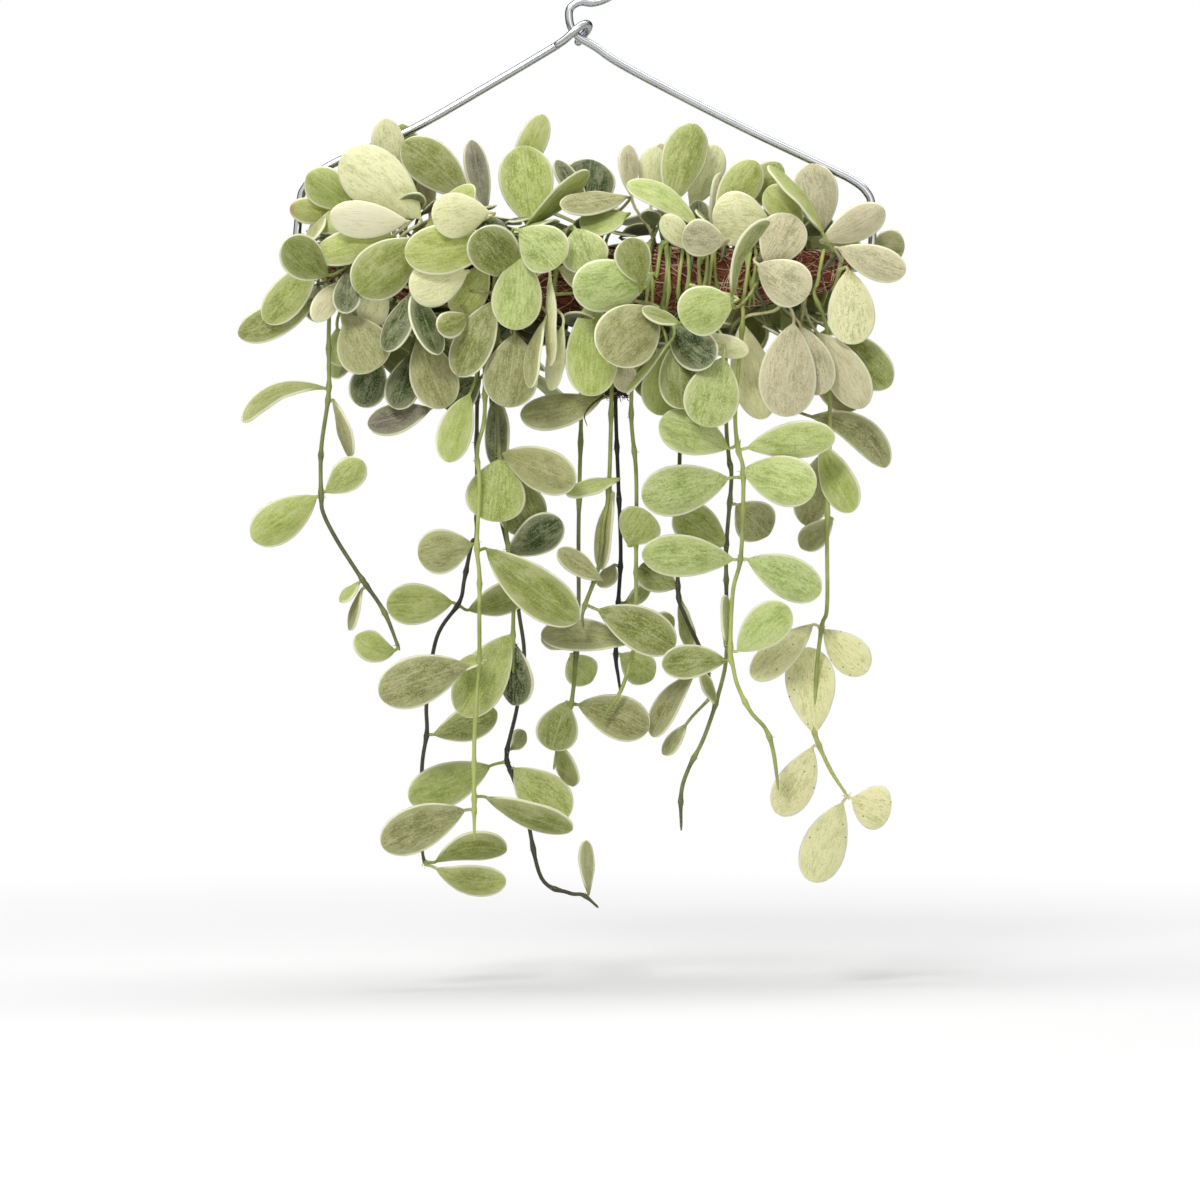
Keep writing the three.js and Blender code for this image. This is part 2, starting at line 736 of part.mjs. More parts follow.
const PETIOLE_STEPS = 16;
const BLADE_OFF_LOG = 1.3;
const PETIOLE_OFF_LOG = 1.2;
const CLEAR_OF_FOOT = 1;
const isClear = (leaf, code, isOutside) => {
  const nearBase = Math.round(NEAR_BASE * BLADE_ROWS);
  const lower = bladeSpots(leaf, FIRST_ROW, nearBase);
  const upper = bladeSpots(leaf, nearBase, BLADE_ROWS);
  const own = code + BLADE_CODE;
  for (const point of upper) {
    const held = room[cellOf(point)];
    const taken = held && held !== code;
    if (taken || inLog(point, BLADE_OFF_LOG) || isOutside(point)) return false;
  }
  for (const point of lower) {
    const held = room[cellOf(point)];
    const taken = held && held !== code && held !== own;
    if (taken || inLog(point, BLADE_OFF_LOG)) return false;
  }
  for (const point of leaf.petiole.getPoints(PETIOLE_STEPS)) {
    const away = point.distanceTo(leaf.petiole.v0) > CLEAR_OF_FOOT;
    const held = room[cellOf(point)];
    const taken = held && held !== code && held !== own;
    if (away && (taken || inLog(point, PETIOLE_OFF_LOG))) return false;
  }
  return true;
};

const claimLeaf = (leaf, code) => {
  const nearBase = Math.round(NEAR_BASE * BLADE_ROWS);
  claim(bladeSpots(leaf, 0, nearBase), bladeBall, code);
  claim(bladeSpots(leaf, nearBase, BLADE_ROWS), bladeBall, code + BLADE_CODE);
  claim(leaf.petiole.getPoints(PETIOLE_STEPS), stemBall, code);
};

// The solid of a leaf: three-sided rings along the petiole, lens-shaped rings across the blade and
// a point at the tip. The frame is carried back along the petiole without twist.
const BLADE_RINGS = [0.3, 0.62, 0.9];
const SMALL_BLADE_RINGS = [0.4, 0.82];
const SMALL_BLADE = 22;
const SHORT_PETIOLE = 6;
const LONG_PETIOLE = 15;
const SHARP_TURN = 85;
const PETIOLE_RING = [[-0.87, 0.5], [0.87, 0.5], [0, -1]];

const petioleRings = (leaf) => {
  const span = leaf.petiole.v0.distanceTo(leaf.base);
  const isSharp = leaf.startWay.angleTo(leaf.petiole.getTangent(0)) > SHARP_TURN * RAD;
  const bends = (span < LONG_PETIOLE ? 1 : 2) + (isSharp ? 1 : 0);
  const rings = [];
  let way = leaf.startWay.clone();
  const side = leaf.side.clone();
  const face = side.clone().cross(way);
  for (let i = bends; i >= 0; i -= 1) {
    const nextWay = leaf.petiole.getTangent(i / bends);
    const turn = new THREE.Quaternion().setFromUnitVectors(way, nextWay);
    side.applyQuaternion(turn);
    face.applyQuaternion(turn);
    way = nextWay;
    const centre = leaf.petiole.getPoint(i / bends);
    rings.unshift(PETIOLE_RING.map(([a, b]) => centre.clone()
      .addScaledVector(side, a * PETIOLE_RADIUS)
      .addScaledVector(face, b * PETIOLE_RADIUS)));
  }
  return span < SHORT_PETIOLE ? rings.slice(0, 1) : rings;
};

const bladeRing = (leaf, t) => {
  const lift = leaf.face.clone().multiplyScalar(BLADE_THICKNESS / 2);
  const middle = bladeSpot(leaf, t, 0);
  return [
    bladeSpot(leaf, t, -1), middle.clone().add(lift),
    bladeSpot(leaf, t, 1), middle.clone().sub(lift),
  ];
};

const leafSolid = (leaf) => {
  const petiole = petioleRings(leaf);
  const places = leaf.length < SMALL_BLADE ? SMALL_BLADE_RINGS : BLADE_RINGS;
  const blade = places.map((t) => bladeRing(leaf, t));
  const points = [...petiole, ...blade].flat();
  points.push(bladeSpot(leaf, 1, 0));
  const faces = [0, 2, 1];
  for (let a = 0; a < 3 * (petiole.length - 1); a += 3) {
    const b = a + 3;
    faces.push(a, a + 1, b + 1, a, b + 1, b, a + 1, a + 2, b + 2, a + 1, b + 2, b + 1);
    faces.push(a + 2, a, b, a + 2, b, b + 2);
  }
  const p = 3 * (petiole.length - 1);
  const q = p + 3;
  faces.push(p, p + 1, q + 1, p, q + 1, q, p + 1, q + 2, q + 1, p + 1, p + 2, q + 2);
  faces.push(p + 2, q + 3, q + 2, p + 2, p, q, p + 2, q, q + 3);
  const last = q + 4 * (blade.length - 1);
  for (let a = q; a < last; a += 4) {
    const b = a + 4;
    faces.push(a, a + 1, b + 1, a, b + 1, b, a + 1, a + 2, b + 2, a + 1, b + 2, b + 1);
    faces.push(a + 2, a + 3, b + 2, a + 3, b + 3, b + 2, a + 3, a, b + 3, a, b, b + 3);
  }
  for (let i = 0; i < 4; i += 1) faces.push(last + i, last + ((i + 1) % 4), last + 4);
  const geometry = new THREE.BufferGeometry().setFromPoints(points);
  geometry.setIndex(faces);
  return geometry;
};

const solidOf = (geometry) => {
  geometry.deleteAttribute('normal');
  geometry.deleteAttribute('uv');
  const merged = mergeVertices(geometry, 1e-4);
  const mesh = new wasm.Mesh({
    numProp: 3,
    vertProperties: new Float32Array(merged.attributes.position.array),
    triVerts: new Uint32Array(merged.index.array),
  });
  return new wasm.Manifold(mesh);
};

const geometryOf = (solid) => {
  const { vertProperties, triVerts } = solid.getMesh();
  const geometry = new THREE.BufferGeometry();
  geometry.setAttribute('position', new THREE.BufferAttribute(vertProperties, 3));
  geometry.setIndex(new THREE.BufferAttribute(triVerts, 1));
  return geometry;
};

// ---------------------------------------------------------------- the plant grows

addPiece('coir_log', lathedLog(), materials.coir);
addPiece('hanger_wire', sweep(wirePoints, WIRE_RADIUS, WIRE_SIDES), materials.steel);
claimRoute(wirePoints, wireBall, WIRE_CODE);

// Every stem hugs the log along its own lane, and a trailer then leaves it and hangs.
const wrapPoints = (lane, [from, to]) => {
  const steps = Math.max(2, Math.round(Math.abs(to - from) / WRAP_STEP));
  const chord = 1 / Math.cos((((to - from) / steps) * RAD) / 2);
  const points = [];
  for (let i = 0; i <= steps; i += 1) {
    const angle = from + ((to - from) * i) / steps;
    const x = lane + (STEM_SLANT * angle) / 90;
    const height = (logRadius(x) + GAP + STEM_RADIUS) * chord - logRadius(x);
    points.push(onLog(x, angle, height));
  }
  return points;
};

const shoots = [];
const startShoot = (name, { lane, wrap, route = [], leaves = [] }) => {
  const points = wrapPoints(lane, wrap).concat(route.map((place) => spot(...place)));
  const shoot = { name, lane, wrap, points, rows: leaves, trails: route.length > 0, leaves: [] };
  shoots.push(shoot);
  shoot.code = shoots.length;
  claimRoute(points, stemBall, shoot.code);
};
Object.entries(trailers).forEach(([name, plan]) => startShoot(name, plan));
Object.entries(frontShoots).forEach(([name, plan]) => startShoot(name, plan));
backLanes.forEach((lane, i) => {
  startShoot(`back_shoot_${String(i + 1).padStart(2, '0')}`, { lane, wrap: BACK_WRAP });
});

// The place on a wrap whose direction from the log's axis is nearest to a leaf's base, kept away
// from the wrap's ends and from the feet that are there already.
const FOOT_INSET = 7;
const FOOT_STEPS = [0, 9, -9, 18, -18, 27, -27, 36, -36];
const FOOT_APART = 2.2;
const footOnWrap = (shoot, base) => {
  const raw = Math.atan2(base.z + logDrop(base.x), -base.y) / RAD;
  const low = Math.min(...shoot.wrap) + FOOT_INSET;
  const high = Math.max(...shoot.wrap) - FOOT_INSET;
  const near = raw + 360 * Math.round(((low + high) / 2 - raw) / 360);
  const placed = FOOT_STEPS.map((step) => {
    const angle = Math.min(high, Math.max(low, near + step));
    const x = shoot.lane + (STEM_SLANT * angle) / 90;
    return { foot: onLog(x, angle, GAP + STEM_RADIUS), footWay: outward(angle) };
  });
  const isApart = ({ foot }) => shoot.leaves.every(
    (leaf) => leaf.petiole.v0.distanceTo(foot) > FOOT_APART,
  );
  return placed.find(isApart) ?? placed[0];
};

// The place on a trailing stem that is nearest to a leaf's base as seen from the front.
const FOOT_SAMPLES = 12;
const footOnRoute = (shoot, right, drop) => {
  const route = new THREE.CatmullRomCurve3(shoot.points, false, 'catmullrom', 0.5);
  const spots = route.getPoints((shoot.points.length - 1) * FOOT_SAMPLES);
  let foot = spots[0];
  const gapTo = (point) => (point.x - right) ** 2 + (point.z + drop) ** 2;
  spots.forEach((point) => {
    if (gapTo(point) < gapTo(foot)) foot = point;
  });
  return foot;
};

const keep = (shoot, leaf) => {
  shoot.leaves.push(leaf);
  claimLeaf(leaf, shoot.code);
};

// The ways a leaf may be bent to find room, the smallest first: deeper or nearer at its tip, at
// its base, and turned about its own length.
const TIP_SHIFTS = [0, 2, -2, 4, -4, 7, -7, 10, -10, 14];
const BASE_SHIFTS = [0, 2, -2, 5, -5, 8];
const TURNS = [0, 15, -15, 30, -30];
const SIZES = [1, 0.85];
const BASE_EASE = 0.25;
const isNowhere = () => false;

// A leaf's own bend along its length, the fold of its edges and its sideways sway.
const drawArch = () => draw(0.02, 0.08);
const drawCup = () => draw(0.04, 0.24);
const drawSway = () => draw(-0.035, 0.035);

const fitLeaf = (shoot, givenSway, plan) => {
  const arch = drawArch();
  const cup = drawCup();
  const sway = givenSway ?? drawSway();
  for (const size of SIZES) {
    for (const turn of TURNS) {
      for (const baseShift of BASE_SHIFTS) {
        for (const tipShift of TIP_SHIFTS) {
          const leaf = shapeLeaf({
            ...plan(baseShift, tipShift, turn, size), arch, cup, sway,
          });
          if (isClear(leaf, shoot.code, isNowhere)) {
            keep(shoot, leaf);
            return;
          }
        }
      }
    }
  }
};

shoots.filter((shoot) => shoot.trails).forEach((shoot) => shoot.rows.forEach((row) => {
  const [right, drop, tipRight, tipDrop, width, lean, roll, sway] = row;
  const foot = footOnRoute(shoot, right, drop);
  fitLeaf(shoot, sway, (baseShift, tipShift, turn, size) => {
    const base = new THREE.Vector3(right, foot.y - baseShift * BASE_EASE, -drop);
    const tip = spot(tipRight, -foot.y + lean + tipShift, tipDrop);
    tip.sub(base).multiplyScalar(size).add(base);
    const footWay = base.clone().sub(foot).normalize();
    return { foot, footWay, base, tip, width: width * size, facing: FRONT, roll: roll + turn };
  });
}));

shoots.filter((shoot) => !shoot.trails).forEach((shoot) => shoot.rows.forEach((row) => {
  const [right, drop, tipRight, tipDrop, width, out, lean, roll, sway] = row;
  fitLeaf(shoot, sway, (baseShift, tipShift, turn, size) => {
    const base = spot(right, out + baseShift, drop);
    const tip = spot(tipRight, out + baseShift + lean + tipShift, tipDrop);
    tip.sub(base).multiplyScalar(size).add(base);
    const { foot, footWay } = footOnWrap(shoot, base);
    return { foot, footWay, base, tip, width: width * size, facing: FRONT, roll: roll + turn };
  });
}));

// The leaves behind and inside follow one rule: they shingle round the log, face outwards and
// point any way, and each keeps trying until it finds room.
const CLUMP_DEPTH = 58;
const CLUMP_RISE = 40;
const CLUMP_HANG = 57;
const CLUMP_LEFT = -120;
const CLUMP_RIGHT = 116;
const isTooFar = (point) => {
  const up = point.z + LOG_DROP;
  const ring = (point.y / CLUMP_DEPTH) ** 2 + (up / (up > 0 ? CLUMP_RISE : CLUMP_HANG)) ** 2;
  return ring > 1 || point.x < CLUMP_LEFT || point.x > CLUMP_RIGHT;
};

const FILL_TRIES = 120;
const ANGLE_SPREAD = 30;
const LANE_SPREAD = 11;
const LOWEST_BASE = 4;
const RISE = [-10, 50];
const LEAF_LENGTH = [24, 37];
const LEAF_WIDTH = [0.56, 0.72];
const ROLL_SPREAD = 35;
const fillShoot = (shoot, count, highest) => {
  const [from, to] = shoot.wrap;
  const share = (to - from) / count;
  for (let i = 0; i < count; i += 1) {
    for (let attempt = 0; attempt < FILL_TRIES; attempt += 1) {
      const angle = from + share * (i + 0.5) + draw(-ANGLE_SPREAD, ANGLE_SPREAD);
      const lane = shoot.lane + draw(-LANE_SPREAD, LANE_SPREAD);
      const base = onLog(lane, angle, draw(LOWEST_BASE, highest));
      const heading = draw(0, 360) * RAD;
      const rise = draw(...RISE) * RAD;
      const facing = outward(angle);
      const way = outward(angle + 90).multiplyScalar(Math.sin(heading));
      way.x += Math.cos(heading);
      way.multiplyScalar(Math.cos(rise)).addScaledVector(facing, Math.sin(rise));
      const length = draw(...LEAF_LENGTH);
      const tip = base.clone().addScaledVector(way, length);
      const width = length * draw(...LEAF_WIDTH);
      const roll = draw(-ROLL_SPREAD, ROLL_SPREAD);
      const arch = drawArch();
      const cup = drawCup();
      const sway = drawSway();
      const { foot, footWay } = footOnWrap(shoot, base);
      const leaf = shapeLeaf({ foot, footWay, base, tip, width, facing, roll, arch, cup, sway });
      if (isClear(leaf, shoot.code, isTooFar)) {
        keep(shoot, leaf);
        break;
      }
    }
  }
};
shoots.filter((shoot) => shoot.name.startsWith('back')).forEach((shoot) => {
  fillShoot(shoot, BACK_LEAVES, BACK_HEIGHT);
});
shoots.filter((shoot) => shoot.name.startsWith('shoot') && shoot.lane < INNER_RIGHT)
  .forEach((shoot) => fillShoot(shoot, INNER_LEAVES, INNER_HEIGHT));

shoots.forEach((shoot) => {
  const sides = shoot.trails ? TRAILER_SIDES : SHOOT_SIDES;
  const stem = solidOf(sweep(shoot.points, STEM_RADIUS, sides));
  const whole = shoot.leaves.reduce((solid, leaf) => solid.add(solidOf(leafSolid(leaf))), stem);
  addPiece(shoot.name, geometryOf(whole.asOriginal().simplify(TRIM)), materials.leaf);
});

export default dischidia;
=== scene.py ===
import functools
import itertools
import math

import bpy
import numpy as np
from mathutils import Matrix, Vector


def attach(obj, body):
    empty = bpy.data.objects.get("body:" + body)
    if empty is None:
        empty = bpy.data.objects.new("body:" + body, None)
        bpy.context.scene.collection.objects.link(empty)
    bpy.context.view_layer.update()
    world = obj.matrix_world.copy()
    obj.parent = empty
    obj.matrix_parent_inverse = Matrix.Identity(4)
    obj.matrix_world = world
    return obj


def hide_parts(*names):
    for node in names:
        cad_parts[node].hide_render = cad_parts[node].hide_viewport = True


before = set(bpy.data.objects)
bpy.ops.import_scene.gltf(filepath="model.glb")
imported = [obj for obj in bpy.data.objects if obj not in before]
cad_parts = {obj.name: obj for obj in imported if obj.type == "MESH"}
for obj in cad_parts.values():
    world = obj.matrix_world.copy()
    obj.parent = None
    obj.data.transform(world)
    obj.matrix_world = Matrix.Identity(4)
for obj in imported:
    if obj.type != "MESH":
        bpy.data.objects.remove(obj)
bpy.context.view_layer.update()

# ---------------------------------------------------------------- the studio
# The plant hangs above a plain pale floor. Large soft lamps stand over it, in front of it and at its
# left, and the walls are white. The camera stands level with the middle of the plant.

scene = bpy.context.scene
scene.view_settings.view_transform = "Standard"
scene.view_settings.look = "None"


def linear(hex_colour, alpha=1.0):
    """A colour as the eye names it, turned into light."""
    parts = [int(hex_colour[i:i + 2], 16) / 255 for i in (1, 3, 5)]
    light = [c / 12.92 if c <= 0.04045 else ((c + 0.055) / 1.055) ** 2.4 for c in parts]
    return (*light, alpha)


def fill_inputs(node, values):
    """Each named input of a node is wired to a socket or set to a value."""
    for name, value in values.items():
        if isinstance(value, bpy.types.NodeSocket):
            node.id_data.links.new(value, node.inputs[name])
        else:
            node.inputs[name].default_value = value


def part_of(tree, kind, values=None, **settings):
    """One node of a tree with its settings and its inputs."""
    node = tree.nodes.new(kind)
    for name, setting in settings.items():
        setattr(node, name, setting)
    fill_inputs(node, values or {})
    return node


def span(tree, value, low, high, start=0.0, end=1.0, **settings):
    """A value between a start and an end becomes one between low and high."""
    return part_of(tree, "ShaderNodeMapRange", {
        "Value": value, "From Min": start, "From Max": end, "To Min": low, "To Max": high},
        **settings).outputs["Result"]


def place_on(tree):
    return part_of(tree, "ShaderNodeTexCoord").outputs["Object"]


def mottle_of(tree, vector, scale, detail, roughness=0.5):
    return part_of(tree, "ShaderNodeTexNoise", {
        "Vector": vector, "Scale": scale, "Detail": detail, "Roughness": roughness}).outputs["Fac"]


def blend(tree, share, one, other, way="MIX"):
    return part_of(tree, "ShaderNodeMix", {"Factor": share, "A": one, "B": other},
                   data_type="RGBA", blend_type=way).outputs["Result"]


def blank_finish(name):
    """An empty material, with its tree and its shader."""
    finish = bpy.data.materials.new(name)
    finish.use_nodes = True
    return finish, finish.node_tree, finish.node_tree.nodes["Principled BSDF"]


def on_stage(name, data):
    """A new thing of the scene."""
    thing = bpy.data.objects.new(name, data)
    scene.collection.objects.link(thing)
    return thing


CAMERA_PLACE = (0.0056, -1.6, -0.27)
CAMERA_LENS = 120
camera = on_stage("camera", bpy.data.cameras.new("camera"))
camera.data.lens = CAMERA_LENS
camera.location = CAMERA_PLACE
camera.rotation_euler = (math.pi / 2, 0, 0)
scene.camera = camera

FLOOR_HEIGHT = -0.425
HALF_FLOOR = 15
floor_mesh = bpy.data.meshes.new("floor")
floor_mesh.from_pydata(
    [(x * HALF_FLOOR, y * HALF_FLOOR, FLOOR_HEIGHT) for x, y in ((-1, -1), (1, -1), (1, 1), (-1, 1))],
    [], [(0, 1, 2, 3)])
floor = on_stage("floor", floor_mesh)

# Near the plant the floor is lit and shaded like paper. Further off it turns plain white, for the
# camera alone, so that it lights nothing.
GLOW_START = 0.35
GLOW_END = 0.85
BOUNCE = 0.09
floor_paper, tree, shader = blank_finish("floor_paper")
spots = place_on(tree)
fill_inputs(shader, {
    "Base Color": blend(tree, mottle_of(tree, spots, 3.0, 2.0), linear("#e3e3e3"), linear("#e9e9e9")),
    "Roughness": 0.9, "Specular IOR Level": 0.0})
away = part_of(tree, "ShaderNodeVectorMath", {0: spots}, operation="LENGTH").outputs["Value"]
is_seen = part_of(tree, "ShaderNodeLightPath").outputs["Is Camera Ray"]
far = span(tree, away, 0.0, is_seen, GLOW_START, GLOW_END, interpolation_type="SMOOTHSTEP")
glow = part_of(tree, "ShaderNodeEmission", {"Color": linear("#ffffff"), "Strength": 1.0})
bounce = part_of(tree, "ShaderNodeEmission", {"Strength": span(tree, is_seen, 0.0, BOUNCE)})
near = part_of(tree, "ShaderNodeAddShader", {0: shader.outputs[0], 1: bounce.outputs[0]})
whole = part_of(tree, "ShaderNodeMixShader", {0: far, 1: near.outputs[0], 2: glow.outputs[0]})
fill_inputs(tree.nodes["Material Output"], {"Surface": whole.outputs[0]})
floor_mesh.materials.append(floor_paper)

# The walls are white to the camera and dim to the plant. The steel mirrors a bright front wall and
# a dark back one.
WALL_LIGHT = 0.09
FRONT_GLEAM = 1.0
BACK_GLEAM = 0.06
walls = bpy.data.worlds.new("white_walls")
walls.use_nodes = True
dome = walls.node_tree
ray = part_of(dome, "ShaderNodeLightPath").outputs
way = part_of(dome, "ShaderNodeSeparateXYZ", {
    "Vector": part_of(dome, "ShaderNodeTexCoord").outputs["Generated"]}).outputs["Y"]
mirrored = span(dome, way, FRONT_GLEAM, BACK_GLEAM, -0.45, 0.35)
unseen = span(dome, ray["Is Glossy Ray"], WALL_LIGHT, mirrored)
fill_inputs(dome.nodes["Background"], {
    "Color": linear("#ffffff"), "Strength": span(dome, ray["Is Camera Ray"], unseen, 1.0)})
scene.world = walls


def soft_lamp(name, place, aim, width, length, watts):
    lamp = on_stage(name, bpy.data.lights.new(name, "AREA"))
    lamp.data.shape = "RECTANGLE"
    lamp.data.size = width
    lamp.data.size_y = length
    lamp.data.energy = watts
    lamp.location = place
    lamp.rotation_euler = (Vector(aim) - Vector(place)).to_track_quat("-Z", "Y").to_euler()


PLANT_MIDDLE = (0, 0, -0.2)
soft_lamp("lamp_above", (-0.06, -0.02, 1.45), PLANT_MIDDLE, 1.0, 3.6, 42)
soft_lamp("lamp_key", (-0.5, -1.3, 0.9), PLANT_MIDDLE, 0.45, 0.45, 13.5)
soft_lamp("lamp_in_front", (0.6, -1.9, 0.2), PLANT_MIDDLE, 1.0, 1.0, 4)

# ---------------------------------------------------------------- the hanger wire
# One polished steel wire is bent into the hook and the neck, runs down the right arm, through the
# log and up the left arm, and is looped once round its own neck to close the frame.

MM = 0.001
WIRE_RADIUS = 1.6
WIRE_SIDES = 20
WIRE_STEPS = 6
HOOK_RADIUS = 16.6
HOOK_TURN = (200, -60, -20)
LOG_LEFT = -112.4
LOG_RIGHT = 106
LOG_DROP = 142.5
LOG_SAG = 7.5
LOG_TILT = 0.016
LOG_SPAN = 112
BAR_STEPS = 10
RAD = math.pi / 180


def spot(right, out, drop):
    return np.array([right, -out, -drop], float)


def log_drop(x):
    return LOG_DROP - LOG_SAG * (x / LOG_SPAN) ** 2 + LOG_TILT * x


def eased(points, steps):
    """A smooth run through points, with the same number of steps between each two of them."""
    points = np.asarray(points, float)
    longer = np.vstack([2 * points[0] - points[1], points, 2 * points[-1] - points[-2]])
    before, start, end, after = longer[:-3], longer[1:-2], longer[2:-1], longer[3:]
    pull_out, pull_in = 0.5 * (end - before), 0.5 * (after - start)
    runs = [
        start + pull_out * t + (3 * (end - start) - 2 * pull_out - pull_in) * t ** 2
        + (2 * (start - end) + pull_out + pull_in) * t ** 3
        for t in np.arange(steps) / steps]
    return np.vstack([np.stack(runs, axis=1).reshape(-1, 3), points[-1:]])


def run_mesh(name, runs, **kept):
    """Every run of points as a chain of edges, with the values that each run keeps for its points."""
    points = np.vstack(runs)
    links, first = [], 0
    for run in runs:
        steps = np.arange(first, first + len(run) - 1)
        links.append(np.stack([steps, steps + 1], axis=1))
        first += len(run)
    mesh = bpy.data.meshes.new(name)
    mesh.from_pydata((points * MM).tolist(), np.vstack(links).tolist(), [])
    for title, values in kept.items():
        values = np.concatenate(values).astype(np.float32)
        kind, field = ("FLOAT", "value") if values.ndim == 1 else ("FLOAT_VECTOR", "vector")
        mesh.attributes.new(title, kind, "POINT").data.foreach_set(field, values.ravel())
    return mesh


def new_tree(name):
    """A tree of geometry nodes that takes runs, a number of sides and a finish."""
    tree = bpy.data.node_groups.new(name, "GeometryNodeTree")
    for title, kind, way in (("Geometry", "Geometry", "INPUT"), ("Sides", "Int", "INPUT"),
                             ("Finish", "Material", "INPUT"), ("Geometry", "Geometry", "OUTPUT")):
        tree.interface.new_socket(title, in_out=way, socket_type="NodeSocket" + kind)
    given = part_of(tree, "NodeGroupInput").outputs
    line = part_of(tree, "GeometryNodeMeshToCurve", {"Mesh": given["Geometry"]}).outputs["Curve"]
    return tree, given, line


def close_tree(tree, given, shape):
    """Every tree ends smooth, real and with its finish."""
    smooth = part_of(tree, "GeometryNodeSetShadeSmooth", {"Geometry": shape})
    real = part_of(tree, "GeometryNodeRealizeInstances", {"Geometry": smooth.outputs["Geometry"]})
    finished = part_of(tree, "GeometryNodeSetMaterial", {
        "Geometry": real.outputs["Geometry"], "Material": given["Finish"]})
    part_of(tree, "NodeGroupOutput", {"Geometry": finished.outputs["Geometry"]})


def made_by(tree, name, mesh, **sizes):
    """The piece that a tree makes from a mesh of runs, as a plain mesh."""
    piece = on_stage(name, mesh)
    maker = piece.modifiers.new("maker", "NODES")
    maker.node_group = tree
    for socket in tree.interface.items_tree:
        if socket.in_out == "INPUT" and socket.name in sizes:
            maker[socket.identifier] = sizes[socket.name]
    seen = bpy.context.evaluated_depsgraph_get()
    made = bpy.data.meshes.new_from_object(
        piece.evaluated_get(seen), preserve_all_data_layers=True, depsgraph=seen)
    piece.modifiers.remove(maker)
    piece.data = made
    made.name = name
    return piece


def run_value(tree, title, kind="FLOAT"):
    """What a run keeps at each of its points, read by its tree."""
    return part_of(tree, "GeometryNodeInputNamedAttribute", {"Name": title},
                   data_type=kind).outputs["Attribute"]


# A round section follows each run, as thick at each point as the run's own girth.
round_run, given, line = new_tree("round_run")
ring = part_of(round_run, "GeometryNodeCurvePrimitiveCircle", {
    "Resolution": given["Sides"], "Radius": 1.0})
tube = part_of(round_run, "GeometryNodeCurveToMesh", {
    "Curve": line, "Profile Curve": ring.outputs["Curve"],
    "Scale": run_value(round_run, "girth"), "Fill Caps": True})
close_tree(round_run, given, tube.outputs["Mesh"])

NECK = [
    (2.6, 0, 31.2), (-2.4, 0, 30.8), (-6.2, 0, 33.2), (-6.8, 0, 37), (-5.6, 0, 41.6),
    (-2.6, 0, 45), (4, 0, 49)]
RIGHT_ARM = [
    (17.2, 0, 57.6), (61, 0, 80.2), (95, 0, 96.4), (106, 0, 101.8), (112, 0, 106.6),
    (114.4, 0, 113), (114.4, 0, 129), (113.4, 0, 134.4), (109.4, 0, 136.6)]
LEFT_ARM = [
    (-116, 0, 131.6), (-115.6, 0, 124), (-114.2, 0, 110), (-112.6, 0, 105.4), (-107.4, 0, 99.6),
    (-98, 0, 94), (-70, 0, 82), (-35.6, 0, 62.4)]
LOOP = [
    (-14, 1.2, 49.8), (-8.5, 3.2, 46.4), (-4.2, 3.9, 42.6), (-1, 2.8, 40.2), (1, 0, 40),
    (0.4, -3, 41.8), (-1.9, -3.9, 44.6), (-3.9, -3.2, 47.6)]
hook = [
    spot(HOOK_RADIUS * math.cos(a * RAD), 0,
         HOOK_RADIUS - WIRE_RADIUS - HOOK_RADIUS * math.sin(a * RAD))
    for a in range(HOOK_TURN[0], HOOK_TURN[1] + HOOK_TURN[2] // 2, HOOK_TURN[2])]
bar = [spot(x, 0, log_drop(x)) for x in np.linspace(LOG_RIGHT, LOG_LEFT, BAR_STEPS + 1)]
wire_points = np.array([
    *hook, *[spot(*place) for place in NECK + RIGHT_ARM], *bar,
    *[spot(*place) for place in LEFT_ARM], *eased([spot(*place) for place in LOOP], 2)])


def walked_along(run):
    """How far along a run each of its points is."""
    return np.concatenate([[0], np.cumsum(np.linalg.norm(np.diff(run, axis=0), axis=1))])


def rounded_ends(run, girth, reach=0.9):
    """The girth along a run whose two ends are rounded off within a reach of so many girths."""
    walked = walked_along(run)
    near_end = np.clip(np.minimum(walked, walked[-1] - walked) / (girth * reach), 0.02, 1)
    return girth * np.sqrt(near_end * (2 - near_end))


def with_close_ends(run, reach):
    """More points near both ends, so that they can be rounded off."""
    steps = reach * (1 - np.cos(np.linspace(0, math.pi / 2, 6)))[1:, None]
    start = run[0] + steps * (run[1] - run[0]) / np.linalg.norm(run[1] - run[0])
    end = run[-1] + steps[::-1] * (run[-2] - run[-1]) / np.linalg.norm(run[-2] - run[-1])
    from_start = np.linalg.norm(run - run[0], axis=1) > reach
    from_end = np.linalg.norm(run - run[-1], axis=1) > reach
    return np.vstack([run[:1], start, run[from_start & from_end], end, run[-1:]])


def bumps_of(tree, height, strength, depth):
    return part_of(tree, "ShaderNodeBump", {
        "Height": height, "Strength": strength, "Distance": depth}).outputs["Normal"]


steel, tree, shader = blank_finish("polished_steel")
spots = place_on(tree)
cloudy = mottle_of(tree, spots, 90.0, 3.0)
fill_inputs(shader, {
    "Base Color": blend(tree, cloudy, linear("#a6a8aa"), linear("#cacccd")),
    "Roughness": span(tree, cloudy, 0.16, 0.3),
    "Normal": bumps_of(tree, mottle_of(tree, spots, 1500.0, 2.0), 0.02, 0.0001),
    "Metallic": 1.0})

wire_run = with_close_ends(eased(wire_points, WIRE_STEPS), WIRE_RADIUS)
wire = made_by(
    round_run, "steel_wire",
    run_mesh("wire_run", [wire_run], girth=[rounded_ends(wire_run, WIRE_RADIUS) * MM]),
    Sides=WIRE_SIDES, Finish=steel)
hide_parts("hanger_wire")
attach(wire, "root")

